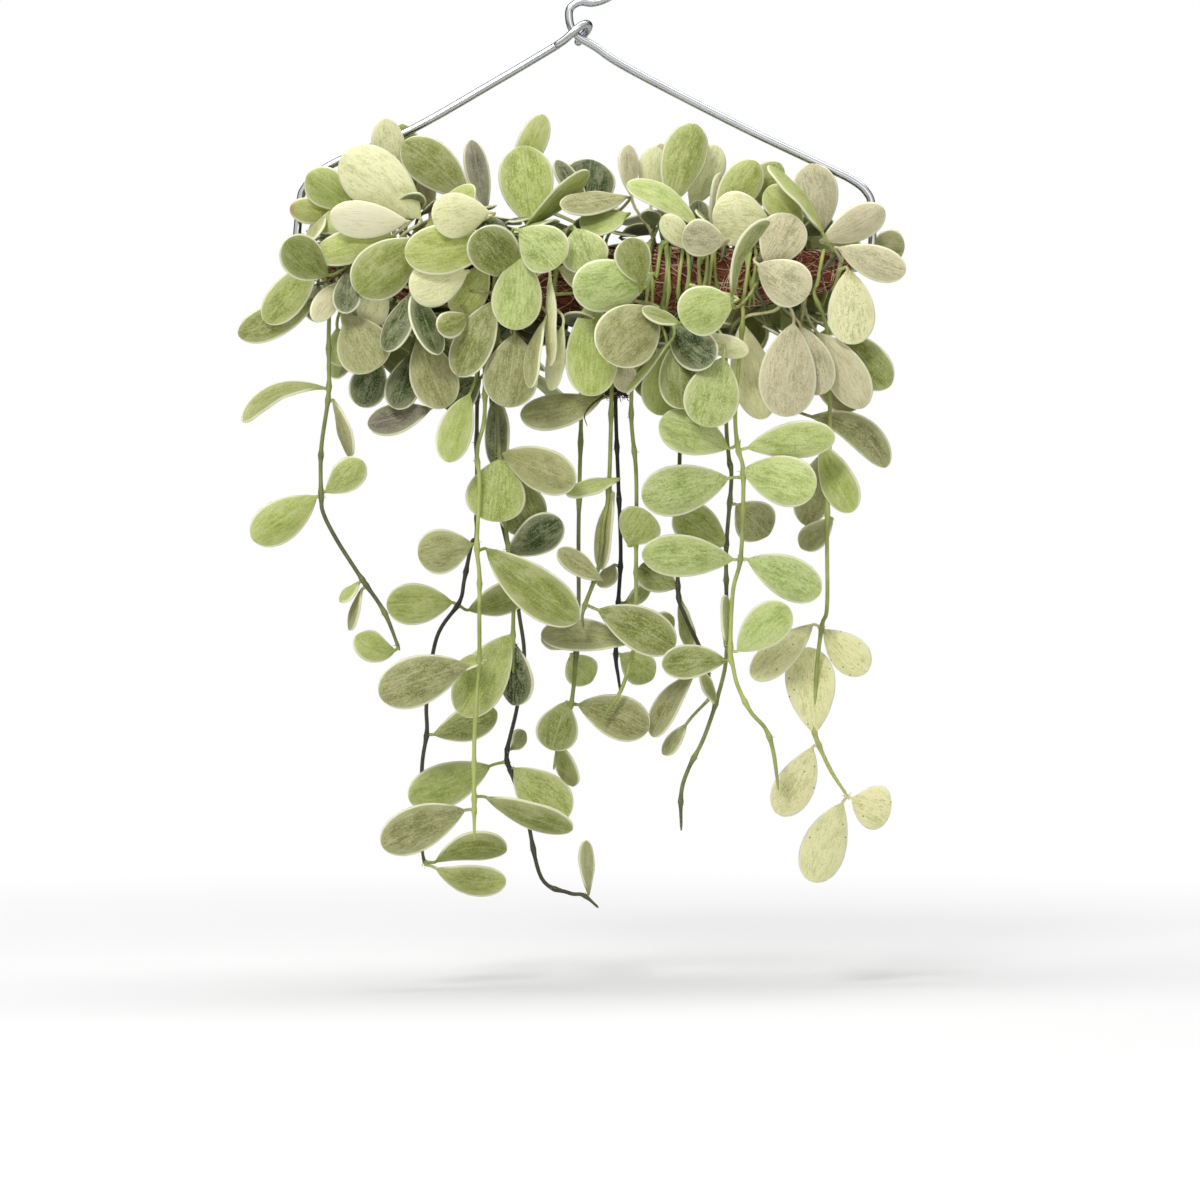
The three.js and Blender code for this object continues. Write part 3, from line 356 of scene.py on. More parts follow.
# ---------------------------------------------------------------- the coir log
# The log is a slim bundle of coconut fibre, rolled round the bar of the hanger and thinner at both
# ends. Reddish brown fibres lie criss-cross on it, and a few pale ones stand out.

LOG_RADIUS = 14
LOG_END_RADIUS = 2.6
LOG_BLUNTNESS = 0.4
LOG_RINGS = 150
LOG_SIDES = 64
LUMP_HEIGHT = 0.35
LUMP_WAVES = 14
LUMP_SHARES = (0.4, 1)
LUMPS_ALONG = (0.2, 1.6)
LUMPS_ROUND = (1, 14)
LUMP_SUM = 6
LUMP_END_EASE = 6
PHASES = (0, 6.3)
FIBRE_COUNT = 1900
FIBRE_STEPS = (7, 13)
FIBRE_STEP = 2.6
FIBRE_GIRTH = (0.09, 0.21)
FIBRE_HEIGHT = (0.0, 0.75)
FIBRE_SIDES = 4


def log_radius(x):
    along = (np.asarray(x, float) - LOG_LEFT) / (LOG_RIGHT - LOG_LEFT)
    inside = (along > 0) & (along < 1)
    bulge = np.sin(math.pi * np.where(inside, along, 0.5)) ** LOG_BLUNTNESS
    return np.where(inside, LOG_END_RADIUS + (LOG_RADIUS - LOG_END_RADIUS) * bulge, LOG_END_RADIUS)


def outward(angle):
    return np.array([0, -math.cos(angle * RAD), math.sin(angle * RAD)])


def on_log(x, angle, height):
    return outward(angle) * (log_radius(x) + height) + spot(x, 0, log_drop(x))


def skin_value(tree, title, field="Fac"):
    """What a mesh keeps at each of its points, read by its material."""
    return part_of(tree, "ShaderNodeAttribute", attribute_name=title).outputs[field]


def sum_of(tree, operation, *values):
    """A sum on sockets and numbers."""
    return part_of(tree, "ShaderNodeMath", dict(enumerate(values)), operation=operation).outputs[0]


def mottled(tree, title, mottle, share):
    """A value that the mesh keeps, mottled by a share."""
    shift = sum_of(tree, "ADD", mottle, -0.5)
    return sum_of(tree, "MULTIPLY_ADD", shift, share, skin_value(tree, title))


def shades(tree, value, *stops):
    """A value turned into a run of colours, each at its place."""
    ramp = part_of(tree, "ShaderNodeValToRGB", {"Fac": value})
    run = ramp.color_ramp.elements
    for stop, (place, tint) in ((run[0], stops[0]), (run[-1], stops[-1])):
        stop.position = place
        stop.color = linear(tint)
    for place, tint in stops[1:-1]:
        run.new(place).color = linear(tint)
    return ramp.outputs["Color"]


# The log's skin is lumpy: waves of all lengths run along it and round it, and die out at its ends.
chance = np.random.default_rng(41)
log_x = LOG_LEFT + (LOG_RIGHT - LOG_LEFT) * (1 - np.cos(np.linspace(0, math.pi, LOG_RINGS))) / 2
log_turn = np.linspace(0, 2 * math.pi, LOG_SIDES, endpoint=False)
along, turn = np.meshgrid(log_x, log_turn, indexing="ij")
lumps = sum(
    chance.uniform(*LUMP_SHARES) * np.sin(
        along * chance.uniform(*LUMPS_ALONG) + turn * chance.integers(*LUMPS_ROUND)
        + chance.uniform(*PHASES)) for _ in range(LUMP_WAVES))
end_ease = np.clip(np.minimum(along - LOG_LEFT, LOG_RIGHT - along) / LUMP_END_EASE, 0, 1)
radius = log_radius(along) - LUMP_HEIGHT + lumps / LUMP_SUM * LUMP_HEIGHT * end_ease
log_points = np.stack([
    along, -np.cos(turn) * radius, np.sin(turn) * radius - log_drop(along)], axis=-1)
starts = range(0, LOG_RINGS * LOG_SIDES, LOG_SIDES)
rings = [[*range(first, first + LOG_SIDES), first] for first in starts]
log_faces = [
    (ring[j], after[j], after[j + 1], ring[j + 1])
    for ring, after in zip(rings, rings[1:]) for j in range(LOG_SIDES)]
log_faces += [tuple(rings[0][:-1]), tuple(rings[-1][-2::-1])]
log_mesh = bpy.data.meshes.new("coir_core")
log_mesh.from_pydata((log_points.reshape(-1, 3) * MM).tolist(), [], log_faces)
log_mesh.shade_smooth()
log_core = on_stage("coir_core", log_mesh)

coir, tree, shader = blank_finish("matted_coir")
spots = place_on(tree)
stretched = part_of(tree, "ShaderNodeMapping", {"Vector": spots, "Scale": (160.0, 900.0, 900.0)})
strands = mottle_of(tree, stretched.outputs["Vector"], 1.0, 5.0, 0.7)
colour = shades(tree, strands, (0.3, "#4a2520"), (0.5, "#95513f"), (0.62, "#c07c66"),
                (0.75, "#e2b898"))
fill_inputs(shader, {
    "Base Color": blend(tree, mottle_of(tree, spots, 70.0, 3.0), colour, linear("#8a443c")),
    "Normal": bumps_of(tree, strands, 0.9, 0.0006), "Roughness": 0.92, "Specular IOR Level": 0.2})
log_mesh.materials.append(coir)

# A fibre starts anywhere on the log, sets off roughly lengthwise, or across in one case of four, and
# strays a little at each step. Its middle may stand off the log.
FIBRE_SPREAD = 0.55
CROSSING_SHARE = 0.25
CROSSING_TURN = (0.8, 1.5)
FIBRE_STRAY = 0.16
FIBRE_SINK = 0.15
FIBRE_UNEVEN = 0.05
FIBRE_INSET = 2
FIBRE_END_SHARE = 0.4
SHORTEST_FIBRE = 4
fibre_runs, fibre_girths, fibre_shades = [], [], []
for _ in range(FIBRE_COUNT):
    steps = chance.integers(*FIBRE_STEPS)
    x = chance.uniform(LOG_LEFT + FIBRE_INSET, LOG_RIGHT - FIBRE_INSET)
    angle = chance.uniform(0, 360)
    heading = chance.normal(0, FIBRE_SPREAD) + (math.pi if chance.random() < 0.5 else 0)
    if chance.random() < CROSSING_SHARE:
        heading += chance.choice([-1, 1]) * chance.uniform(*CROSSING_TURN)
    height = chance.uniform(*FIBRE_HEIGHT)
    run = []
    for i in range(steps):
        lift = height * math.sin(math.pi * (i + 0.5) / steps) + chance.uniform(
            -FIBRE_UNEVEN, FIBRE_UNEVEN)
        run.append(on_log(x, angle, lift - FIBRE_SINK))
        heading += chance.normal(0, FIBRE_STRAY)
        x += FIBRE_STEP * math.cos(heading)
        angle += FIBRE_STEP * math.sin(heading) / max(float(log_radius(x)), 3) / RAD
        if not LOG_LEFT + 1 < x < LOG_RIGHT - 1:
            break
    if len(run) < SHORTEST_FIBRE:
        continue
    girths = np.full(len(run), chance.uniform(*FIBRE_GIRTH))
    girths[[0, -1]] *= FIBRE_END_SHARE
    fibre_runs.append(np.array(run))
    fibre_girths.append(girths * MM)
    fibre_shades.append(np.full(len(run), chance.random()))

fibre, tree, shader = blank_finish("coir_fibre")
mottle = mottle_of(tree, place_on(tree), 400.0, 2.0)
fill_inputs(shader, {
    "Base Color": shades(tree, mottled(tree, "shade", mottle, 0.35), (0.05, "#55291f"),
                         (0.4, "#9a5544"), (0.62, "#bd7d66"), (0.76, "#e0bd98"), (1.0, "#f6e6c8")),
    "Roughness": span(tree, mottle, 0.65, 0.9), "Specular IOR Level": 0.25})

log_fibres = made_by(
    round_run, "coir_fibres",
    run_mesh("fibre_runs", fibre_runs, girth=fibre_girths, shade=fibre_shades),
    Sides=FIBRE_SIDES, Finish=fibre)
for piece in (log_core, log_fibres):
    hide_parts("coir_log")
    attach(piece, "root")

# ---------------------------------------------------------------- the plan of the plant
# A lane is where a stem hugs the log, and its wrap is the stretch of angles that it covers. A
# trailer's route goes on as (right, out, drop), in millimetres from the hook's bearing point. A
# leaf is (base right, base drop, tip right, tip drop, width, lean of the tip, roll), and on the
# clump's shoots its base's distance out stands before the lean. A last number, where there is one,
# is its sway to one side. Tones name each leaf's colour, and the dark tone s is painted shade,
# given to leaves that lie in shade.

trailers = {
    "trailer_left": dict(lane=-102, wrap=(70, -50), tones="oglllgl", route=[
        (-102, 12, 152), (-102, 14, 168), (-102, 14, 188), (-105, 13, 210), (-105, 13, 229),
        (-104, 13, 236), (-99, 12, 246), (-92, 12, 257), (-88, 12, 263), (-80, 11, 275), (-74, 11, 290)],
        leaves=[
        (-104, 186, -135, 200, 9, 8, 30, 0.2), (-100, 191, -94, 213, 12, -2, 60, -0.08),
        (-103, 227, -88, 215, 13, 3, 0), (-107, 229, -132, 246, 17, 5, 0),
        (-90, 263, -97, 271, 8, 3, 50), (-89, 266, -94, 282, 9, -3, 60),
        (-76, 290, -91, 284, 13, 6, 20, -0.12)]),
    "trailer_pale": dict(lane=-44, wrap=(60, -50), tones="goggol", route=[
        (-41, 16, 164), (-40, 18, 196), (-43, 20, 211), (-42, 20, 224), (-43, 21, 248), (-42, 21, 260),
        (-42, 22, 276), (-42, 22, 294), (-43, 22, 309), (-44, 22, 326), (-44, 22, 351), (-44, 22, 364)],
        leaves=[
        (-45, 248, -66, 253, 18, 3, 0), (-39, 250, -3, 278, 19, 6, 0), (-47, 296, -81, 308, 20, 5, 0),
        (-48, 353, -80, 367, 18, 6, 0), (-39, 348, -5, 360, 14, 4, 35), (-39, 294, -51, 296, 9, -6, 50)]),
    "trailer_shade": dict(lane=-48, wrap=(110, 250), tones="loool", route=[
        (-43, -14, 168), (-44, -12, 196), (-44, -10, 241), (-46, -10, 247), (-49, -9, 262),
        (-51, -8, 271), (-60, -8, 285), (-64, -8, 310), (-64, -8, 323), (-66, -8, 338), (-66, -8, 367),
        (-65, -8, 376)],
        leaves=[
        (-54, 271, -80, 272, 17, 4, 0), (-47, 274, -24, 266, 14, -5, 20),
        (-61, 324, -36, 315, 15, -4, 15), (-60, 375, -32, 371, 13, -3, 20, -0.14),
        (-60, 378, -32, 382, 13, 6, 10, 0.08)]),
    "trailer_round": dict(lane=-36, wrap=(60, -55), tones="logsls", route=[
        (-35, 14, 164), (-35, 12, 194), (-34, 12, 215), (-32, 10, 240), (-29, 9, 264), (-29, 8, 284),
        (-29, 8, 299)],
        leaves=[
        (-34, 214, -37, 239, 24, 8, 0), (-32, 220, -20, 243, 20, -4, 0), (-33, 212, -4, 224, 18, 5, 15),
        (-31, 251, -10, 238, 16, -3, 10), (-30, 284, -49, 316, 20, 6, 0),
        (-28, 288, -29, 312, 16, -6, 30)]),
    "trailer_dark": dict(lane=-32, wrap=(110, 250), tones="llog", route=[
        (-38, -16, 168), (-38, -15, 196), (-37, -14, 224), (-30, -14, 256), (-27, -14, 276),
        (-25, -14, 293), (-28, -14, 314), (-32, -13, 332), (-30, -12, 340), (-24, -12, 357),
        (-18, -12, 382), (-7, -12, 388), (-1, -12, 389), (5, -12, 394)],
        leaves=[
        (-39, 337, -71, 350, 18, 6, 0), (-29, 338, -7, 357, 20, 8, 0), (-30, 330, -25, 323, 9, -4, 40),
        (1, 388, 0, 367, 7, -3, 20)]),
    "trailer_middle": dict(lane=-5, wrap=(110, 250), tones="oglgo", route=[
        (-2, -12, 164), (-2, -10, 196), (-3, -8, 240), (-3, -6, 272), (-4, -5, 292), (-6, -4, 312),
        (-11, -4, 328), (-13, -4, 338)],
        leaves=[
        (-8, 311, -14, 330, 17, 4, 0), (-3, 312, 25, 322, 18, 5, 0), (-6, 292, 2, 303, 14, -5, 0),
        (-5, 288, -18, 286, 10, 3, 45), (-10, 328, -5, 345, 10, -9, 30)]),
    "trailer_fork": dict(lane=7, wrap=(50, -60), tones="oggl", route=[
        (10, 13, 164), (10, 12, 196), (9, 11, 227), (7, 11, 240), (5, 11, 257), (-1, 11, 274),
        (-1, 11, 281)],
        leaves=[
        (5, 274, 35, 289, 18, 5, 0), (11, 228, 6, 258, 10, -4, 45), (6, 262, -11, 250, 10, 4, 20),
        (13, 222, -8, 228, 8, 4, 30)]),
    "trailer_black": dict(lane=12, wrap=(110, 250), tones="lgo", route=[
        (12, -16, 164), (12, -18, 194), (13, -19, 222), (14, -20, 251), (13, -20, 271), (12, -20, 292),
        (13, -20, 301), (14, -20, 308)],
        leaves=[
        (14, 292, 27, 302, 14, -4, 0), (11, 256, 6, 265, 10, 5, 40), (16, 271, 26, 265, 10, -4, 45)]),
    "trailer_centre": dict(lane=19, wrap=(60, -60), tones="lgo", route=[
        (19, 14, 164), (18, 10, 196), (20, 7, 220), (20, 5, 250), (20, 4, 264), (20, 4, 284),
        (19, 4, 290), (14, 4, 306), (6, 4, 318)],
        leaves=[
        (17, 248, 25, 235, 18, 4, 0), (18, 287, -18, 284, 14, -4, 15), (23, 286, 35, 277, 11, -6, 20)]),
    "trailer_bright": dict(lane=64, wrap=(60, -55), tones="fffffffoo", route=[
        (62, 20, 160), (59, 22, 194), (60, 22, 210), (62, 22, 218), (62, 22, 235), (61, 22, 254),
        (58, 22, 267), (57, 22, 290), (58, 22, 296), (60, 22, 304), (65, 22, 314), (71, 22, 321),
        (74, 22, 330), (76, 22, 345)],
        leaves=[
        (56, 210, 29, 200, 18, 5, 0), (64, 210, 98, 206, 15, 6, 10), (62, 219, 90, 227, 20, 7, 0),
        (56, 222, 22, 230, 20, 6, 0), (64, 254, 92, 268, 17, 5, 0), (58, 254, 22, 252, 17, 6, 0),
        (60, 290, 80, 273, 17, 5, 0), (55, 294, 30, 296, 14, 4, 10), (55, 288, 55, 268, 6, -3, 35)]),
    "trailer_twin": dict(lane=60, wrap=(130, 260), tones="lgo", route=[
        (57, 2, 164), (56, 3, 197), (57, 4, 213), (58, 5, 222), (56, 5, 248), (56, 5, 267), (56, 5, 292),
        (53, 5, 307), (47, 5, 325), (41, 5, 337), (38, 5, 347), (38, 5, 362)],
        leaves=[
        (56, 248, 36, 234, 17, 4, 0), (60, 232, 73, 244, 18, -6, 0), (52, 312, 46, 299, 6, 4, 30)]),
    "trailer_short": dict(lane=38, wrap=(110, 250), tones="oggo", route=[
        (39, -14, 164), (38, -10, 200), (37, -7, 240), (37, -5, 267), (40, -4, 277), (46, -4, 290),
        (49, -4, 300), (50, -4, 309)],
        leaves=[
        (38, 270, 42, 290, 9, -3, 45), (43, 300, 27, 325, 11, 5, 20, 0.06),
        (40, 320, 31, 332, 7, -7, 20), (36, 265, 22, 256, 14, -5, 10)]),
    "trailer_right": dict(lane=93, wrap=(60, -60), tones="yyyyyylgg", route=[
        (96, 10, 164), (97, 9, 200), (96, 8, 240), (96, 8, 272), (94, 8, 280), (92, 8, 296), (91, 8, 316),
        (91, 8, 323), (97, 8, 337), (104, 8, 348)],
        leaves=[
        (90, 280, 66, 301, 14, 5, 15), (95, 282, 112, 298, 16, 6, 20), (91, 323, 88, 289, 20, -4, 0),
        (90, 329, 76, 355, 16, 5, 10), (102, 351, 90, 382, 18, 5, 0), (106, 349, 121, 354, 18, 4, 0),
        (94, 208, 106, 235, 15, 5, 20), (94, 212, 88, 240, 15, -5, 0), (98, 238, 86, 249, 11, -8, 0)]),
}
front_shoots = {
    "shoot_01": dict(lane=-105, wrap=(10, 120), tones="lbg", leaves=[
        (-94, 114, -111, 101, 16, 6, 3, 0), (-99, 116, -118, 114, 11, 1, 3, 10),
        (-104, 117, -109, 128, 8, 2, 0, 45)]),
    "shoot_02": dict(lane=-98, wrap=(-60, 60), tones="loc", leaves=[
        (-107, 134, -128, 159, 15, 9, 6, 0), (-108, 150, -139, 164, 14, 2, 3, 0),
        (-99, 144, -107, 160, 10, 7, 3, 0)]),
    "shoot_03": dict(lane=-93, wrap=(-80, 20), tones="slsg", leaves=[
        (-94, 139, -94, 157, 12, 9, 3, 10), (-99, 162, -96, 177, 13, 8, 2, 10),
        (-84, 172, -90, 193, 15, 4, 3, 0), (-94, 157, -83, 179, 22, 14, 6, 0)]),
    "shoot_04": dict(lane=-80, wrap=(20, 110), tones="wlk", leaves=[
        (-71, 120, -101, 118, 15, 16, 6, 0), (-76, 126, -107, 134, 14, 13, 7, 10),
        (-75, 110, -80, 78, 14, 0, 2, 0)]),
    "shoot_05": dict(lane=-76, wrap=(10, 110), tones="koo", leaves=[
        (-66, 118, -97, 94, 24, 9, 5, 0), (-70, 108, -74, 79, 13, -5, 0, 0),
        (-65, 128, -90, 149, 22, 18, 6, 0)]),
    "shoot_06": dict(lane=-72, wrap=(28, 130), tones="ocp", leaves=[
        (-47, 110, -73, 88, 19, 6, 3, 10), (-63, 114, -70, 95, 14, -10, 0, 20),
        (-40, 115, -46, 86, 10, 2, -2, 10)]),
    "shoot_07": dict(lane=-68, wrap=(-70, 40), tones="kssg", leaves=[
        (-80, 146, -88, 160, 13, 14, 3, 0), (-69, 149, -79, 172, 14, 21, 2, 35),
        (-68, 148, -58, 174, 14, 19, 5, -40), (-66, 166, -55, 194, 19, 14, 6, 0)]),
    "shoot_08": dict(lane=-64, wrap=(-80, 0), tones="sp", leaves=[
        (-70, 172, -76, 194, 14, 4, 2, 0), (-62, 194, -87, 200, 13, 9, 3, 15)]),
    "shoot_09": dict(lane=-56, wrap=(-20, 70), tones="lkk", leaves=[
        (-36, 128, -71, 134, 20, 25, 7, 4), (-38, 118, -60, 121, 18, 31, 5, 0),
        (-47, 141, -69, 149, 18, 24, 6, 0)]),
    "shoot_10": dict(lane=-52, wrap=(-70, 20), tones="olo", leaves=[
        (-47, 158, -58, 164, 11, 24, 4, 0), (-39, 137, -52, 157, 15, 20, 2, 0),
        (-36, 152, -50, 182, 17, 22, 4, 15)]),
    "shoot_11": dict(lane=-40, wrap=(-80, 30), tones="sls", leaves=[
        (-42, 182, -56, 194, 14, 11, 2, 0), (-46, 189, -54, 216, 14, 18, 3, 0),
        (-36, 187, -36, 217, 12, 2, 2, 30)]),
    "shoot_12": dict(lane=-28, wrap=(-60, 60), tones="fgf", leaves=[
        (-26, 134, -29, 164, 20, 27, 5, 0), (-28, 165, -32, 194, 22, 23, 6, 0),
        (-26, 125, -10, 139, 20, 31, 5, 0)]),
    "shoot_13": dict(lane=-24, wrap=(20, 120), tones="lll", leaves=[
        (-20, 122, -25, 89, 22, 12, -6, 0), (-30, 104, -17, 75, 12, -3, -4, 0),
        (-24, 122, 1, 100, 15, 14, 3, 62)]),
    "shoot_14": dict(lane=-20, wrap=(-70, 20), tones="gk", leaves=[
        (-16, 160, -21, 187, 11, 27, 3, 55), (-14, 142, -14, 178, 11, 24, 2, 65)]),
    "shoot_15": dict(lane=-12, wrap=(-80, 60), tones="kfl", leaves=[
        (-9, 162, -14, 187, 10, 24, 3, 40), (-4, 124, 2, 141, 19, 26, 5, 0),
        (2, 152, 2, 190, 21, 22, 6, 0)]),
    "shoot_16": dict(lane=2, wrap=(50, 130), tones="ssgl", leaves=[
        (1, 117, 2, 93, 22, -6, -2, 0), (1, 114, -12, 94, 9, 0, -2, 20),
        (16, 110, -10, 115, 13, 12, 4, 35), (16, 117, -2, 123, 15, 15, 6, 35)]),
    "shoot_17": dict(lane=16, wrap=(-60, 40), tones="fog", leaves=[
        (26, 142, -5, 149, 21, 24, 8, 0), (22, 146, 16, 129, 15, 33, -1, 10),
        (28, 156, 8, 177, 25, 28, 7, 0)]),
    "shoot_18": dict(lane=24, wrap=(30, 140), tones="ckl", leaves=[
        (18, 108, 17, 88, 9, 1, -1, 20), (26, 110, 28, 88, 12, -5, -2, 0),
        (34, 112, 44, 80, 18, 6, -3, 0)]),
    "shoot_19": dict(lane=28, wrap=(0, 140), tones="kfc", leaves=[
        (42, 112, 52, 87, 14, -5, -3, 0), (44, 122, 16, 106, 14, 13, 3, 40, 0.1),
        (32, 108, 30, 86, 9, -10, -2, 0)]),
    "shoot_20": dict(lane=32, wrap=(-80, 60), tones="cllg", leaves=[
        (16, 176, 15, 188, 10, 20, 2, 0), (32, 170, 16, 189, 11, 30, 2, 74),
        (32, 170, 29, 197, 17, 17, 5, 0), (6, 190, -26, 197, 15, 12, 4, 15)]),
    "shoot_21": dict(lane=41, wrap=(-60, 70), tones="osof", leaves=[
        (36, 168, 38, 195, 17, 22, 4, 0), (34, 162, 50, 177, 17, 24, 4, 0),
        (37, 162, 22, 157, 10, 34, 2, 50), (58, 153, 37, 161, 20, 33, 6, 0)]),
    "shoot_22": dict(lane=45, wrap=(20, 90), tones="cks", leaves=[
        (55, 128, 38, 126, 15, 23, 4, 0), (42, 131, 30, 119, 11, 17, 2, 20),
        (46, 122, 45, 110, 9, -2, 0, 0)]),
    "shoot_23": dict(lane=49, wrap=(-50, 60), tones="fkk", leaves=[
        (54, 175, 46, 202, 22, 29, 5, 0), (42, 166, 64, 172, 10, 22, 2, 30),
        (73, 122, 50, 118, 22, 15, 5, 0)]),
    "shoot_24": dict(lane=53, wrap=(30, 120), tones="llc", leaves=[
        (52, 118, 68, 95, 16, 6, -2, 0), (62, 114, 78, 95, 14, -2, -2, 0),
        (50, 122, 54, 99, 10, 1, 0, 40)]),
    "shoot_25": dict(lane=68, wrap=(-30, 70), tones="occ", leaves=[
        (57, 152, 72, 122, 9, 36, -4, 50, -0.2), (71, 138, 82, 118, 19, 21, -1, 0),
        (68, 138, 87, 151, 19, 25, 6, 0)]),
    "shoot_26": dict(lane=80, wrap=(-80, 70), tones="cckl", leaves=[
        (82, 161, 79, 198, 23, 21, 6, 0), (85, 162, 93, 189, 17, 17, 4, 0),
        (62, 160, 71, 198, 17, 8, 2, 0), (86, 121, 72, 106, 14, 8, -2, 0)]),
    "shoot_27": dict(lane=97, wrap=(10, 110), tones="lcc", leaves=[
        (94, 125, 72, 98, 13, 15, -1, 62), (94, 123, 89, 96, 18, 4, -3, 0),
        (94, 127, 118, 115, 14, 13, 4, 0)]),
    "shoot_28": dict(lane=101, wrap=(-70, 60), tones="ckgo", leaves=[
        (100, 131, 126, 141, 14, 11, 4, 0), (104, 139, 105, 169, 19, 13, 6, 0),
        (114, 128, 128, 128, 14, -6, -2, 0), (100, 162, 121, 185, 17, 6, 3, 0)]),
    "shoot_29": dict(lane=89, wrap=(-80, 0), tones="cgg", leaves=[
        (92, 164, 110, 194, 17, 11, 4, 15), (90, 197, 120, 217, 13, 6, 5, 10, -0.16),
        (90, 181, 109, 193, 14, 3, 2, 0)]),
}

# ---------------------------------------------------------------- how the plant grows
# Each stem hugs the log along its own lane, and a trailer then leaves it and hangs. Leaves stand on
# short stalks. A leaf that would enter another one is shifted, turned or made smaller until it is
# clear, in the same order and by the same rule as in the plain solids, so that every leaf keeps its
# place.

GAP = 0.3
STEM_ROOM = 2.1
BLADE_ROOM = 1.75
WIRE_ROOM = 2.7
CELL = 0.8
CELL_MARGIN = 0.3
ROOM_LOW = np.array([-160.3, -75.3, -405.3])
ROOM_SIZE = (400, 190, 425)
BLADE_CODE = 100
WIRE_CODE = 250
STEM_RADIUS = 1.0
PETIOLE_RADIUS = 0.72
STEM_SLANT = 3
WRAP_STEP = 28
FRONT = np.array([0, -1, 0], float)
BACK_LANES = (-97, -89, -84, -68, -60, -52, -40, -20, -15, -2, 4, 30, 56, 72, 84, 89)
BACK_WRAP = (95, 235)
BACK_LEAVES = 8
BACK_HEIGHT = 26
INNER_LEAVES = 1
INNER_HEIGHT = 14
INNER_RIGHT = 10

seed = 5077
room = np.zeros(ROOM_SIZE[0] * ROOM_SIZE[1] * ROOM_SIZE[2], np.uint8)


def draw(low, high):
    """The next number of the plant's own seeded sequence."""
    global seed
    seed = seed * 16807 % 2147483647
    return low + (high - low) * (seed / 2147483647)


def cell_of(points):
    """The cell of the room that each point is in."""
    cells = np.floor((points - ROOM_LOW) / CELL).astype(np.int64)
    return (cells[..., 0] * ROOM_SIZE[1] + cells[..., 1]) * ROOM_SIZE[2] + cells[..., 2]


def ball(radius):
    """The cells round a point that a thing of this radius fills."""
    reach = math.floor(radius / CELL + 0.5)
    i, j, k = np.mgrid[-reach:reach + 1, -reach:reach + 1, -reach:reach + 1].reshape(3, -1)
    inside = (i * i + j * j + k * k) * CELL * CELL <= (radius + CELL_MARGIN * CELL) ** 2
    return ((i * ROOM_SIZE[1] + j) * ROOM_SIZE[2] + k)[inside]


STEM_BALL = ball(STEM_ROOM)
BLADE_BALL = ball(BLADE_ROOM)


def claim(points, offsets, code):
    """The free cells round these points are taken under a code."""
    cells = (cell_of(points)[:, None] + offsets).ravel()
    room[cells[room[cells] == 0]] = code


ROUTE_SAMPLES = 24
claim(eased(wire_points, ROUTE_SAMPLES), ball(WIRE_ROOM), WIRE_CODE)

BASE_TAPER = 0.8
TIP_TAPER = 0.5
WIDEST = BASE_TAPER / (BASE_TAPER + TIP_TAPER)
PETIOLE_REACH = 0.38
BLADE_ROWS = 24
BLADE_COLUMNS = 14
NEAR_BASE = 7
FIRST_ROW = 2
BLADE_OFF_LOG = 1.3
PETIOLE_OFF_LOG = 1.2
PETIOLE_STEPS = 16
CLEAR_OF_FOOT = 1


def unit(vector):
    return vector / (np.linalg.norm(vector) or 1)


def half_width(width, t):
    rise = (t / WIDEST) ** BASE_TAPER
    fall = ((1 - t) / (1 - WIDEST)) ** TIP_TAPER
    return width / 2 * rise * fall


def bezier(places, t):
    a, b, c, d = places
    t = t[:, None]
    return a * (1 - t) ** 3 + 3 * b * t * (1 - t) ** 2 + 3 * c * t ** 2 * (1 - t) + d * t ** 3


def shape_leaf(foot, foot_way, base, tip, width, facing, roll, arch, cup, sway):
    """A leaf bows along its length, sways in its own plane, and its edges drop by its cup."""
    axis = tip - base
    length = np.linalg.norm(axis)
    axis = axis / length
    flat = unit(facing - axis * np.dot(facing, axis))
    across = np.cross(axis, flat)
    face = flat * math.cos(roll * RAD) + across * math.sin(roll * RAD)
    side = np.cross(axis, face)
    start_way = unit(axis + face * 4 * arch + side * 4 * sway)
    reach = np.linalg.norm(foot - base) * PETIOLE_REACH
    stalk = (foot, foot + foot_way * reach, base - start_way * reach, base)
    return dict(base=base, axis=axis, face=face, side=side, length=length, width=width,
                bow=arch * length, cup=cup, sway=sway, stalk=stalk)


ROWS = np.arange(BLADE_ROWS + 1) / BLADE_ROWS
COLUMNS = 2 * np.arange(BLADE_COLUMNS + 1) / BLADE_COLUMNS - 1


def blade_spots(leaf, rows):
    """Spots spread over some rows of a blade."""
    t = ROWS[rows][:, None]
    half = np.maximum(PETIOLE_RADIUS, half_width(leaf["width"], t)) * COLUMNS
    slope = 4 * leaf["sway"] * (1 - 2 * t)
    turn = half / np.hypot(1, slope)
    forth = leaf["length"] * t - slope * turn
    up = 4 * leaf["bow"] * t * (1 - t) - leaf["cup"] * np.abs(half * COLUMNS)
    aside = 4 * leaf["sway"] * leaf["length"] * t * (1 - t) + turn
    spots = (leaf["base"] + leaf["axis"] * forth[..., None] + leaf["face"] * up[..., None]
             + leaf["side"] * aside[..., None])
    return spots.reshape(-1, 3)


def in_log(points, height):
    x = points[:, 0]
    near = (x >= LOG_LEFT - height) & (x <= LOG_RIGHT + height)
    return near & (np.hypot(points[:, 1], points[:, 2] + log_drop(x)) < log_radius(x) + height)


LOWER_ROWS = slice(FIRST_ROW, NEAR_BASE + 1)
UPPER_ROWS = slice(NEAR_BASE, BLADE_ROWS + 1)
ALL_STALK = np.arange(PETIOLE_STEPS + 1) / PETIOLE_STEPS


def is_free(points, off_log, *own):
    """No point is in the log or in the room of another stem or leaf."""
    held = room[cell_of(points)]
    taken = held != 0
    for code in own:
        taken &= held != code
    return not (taken.any() or in_log(points, off_log).any())


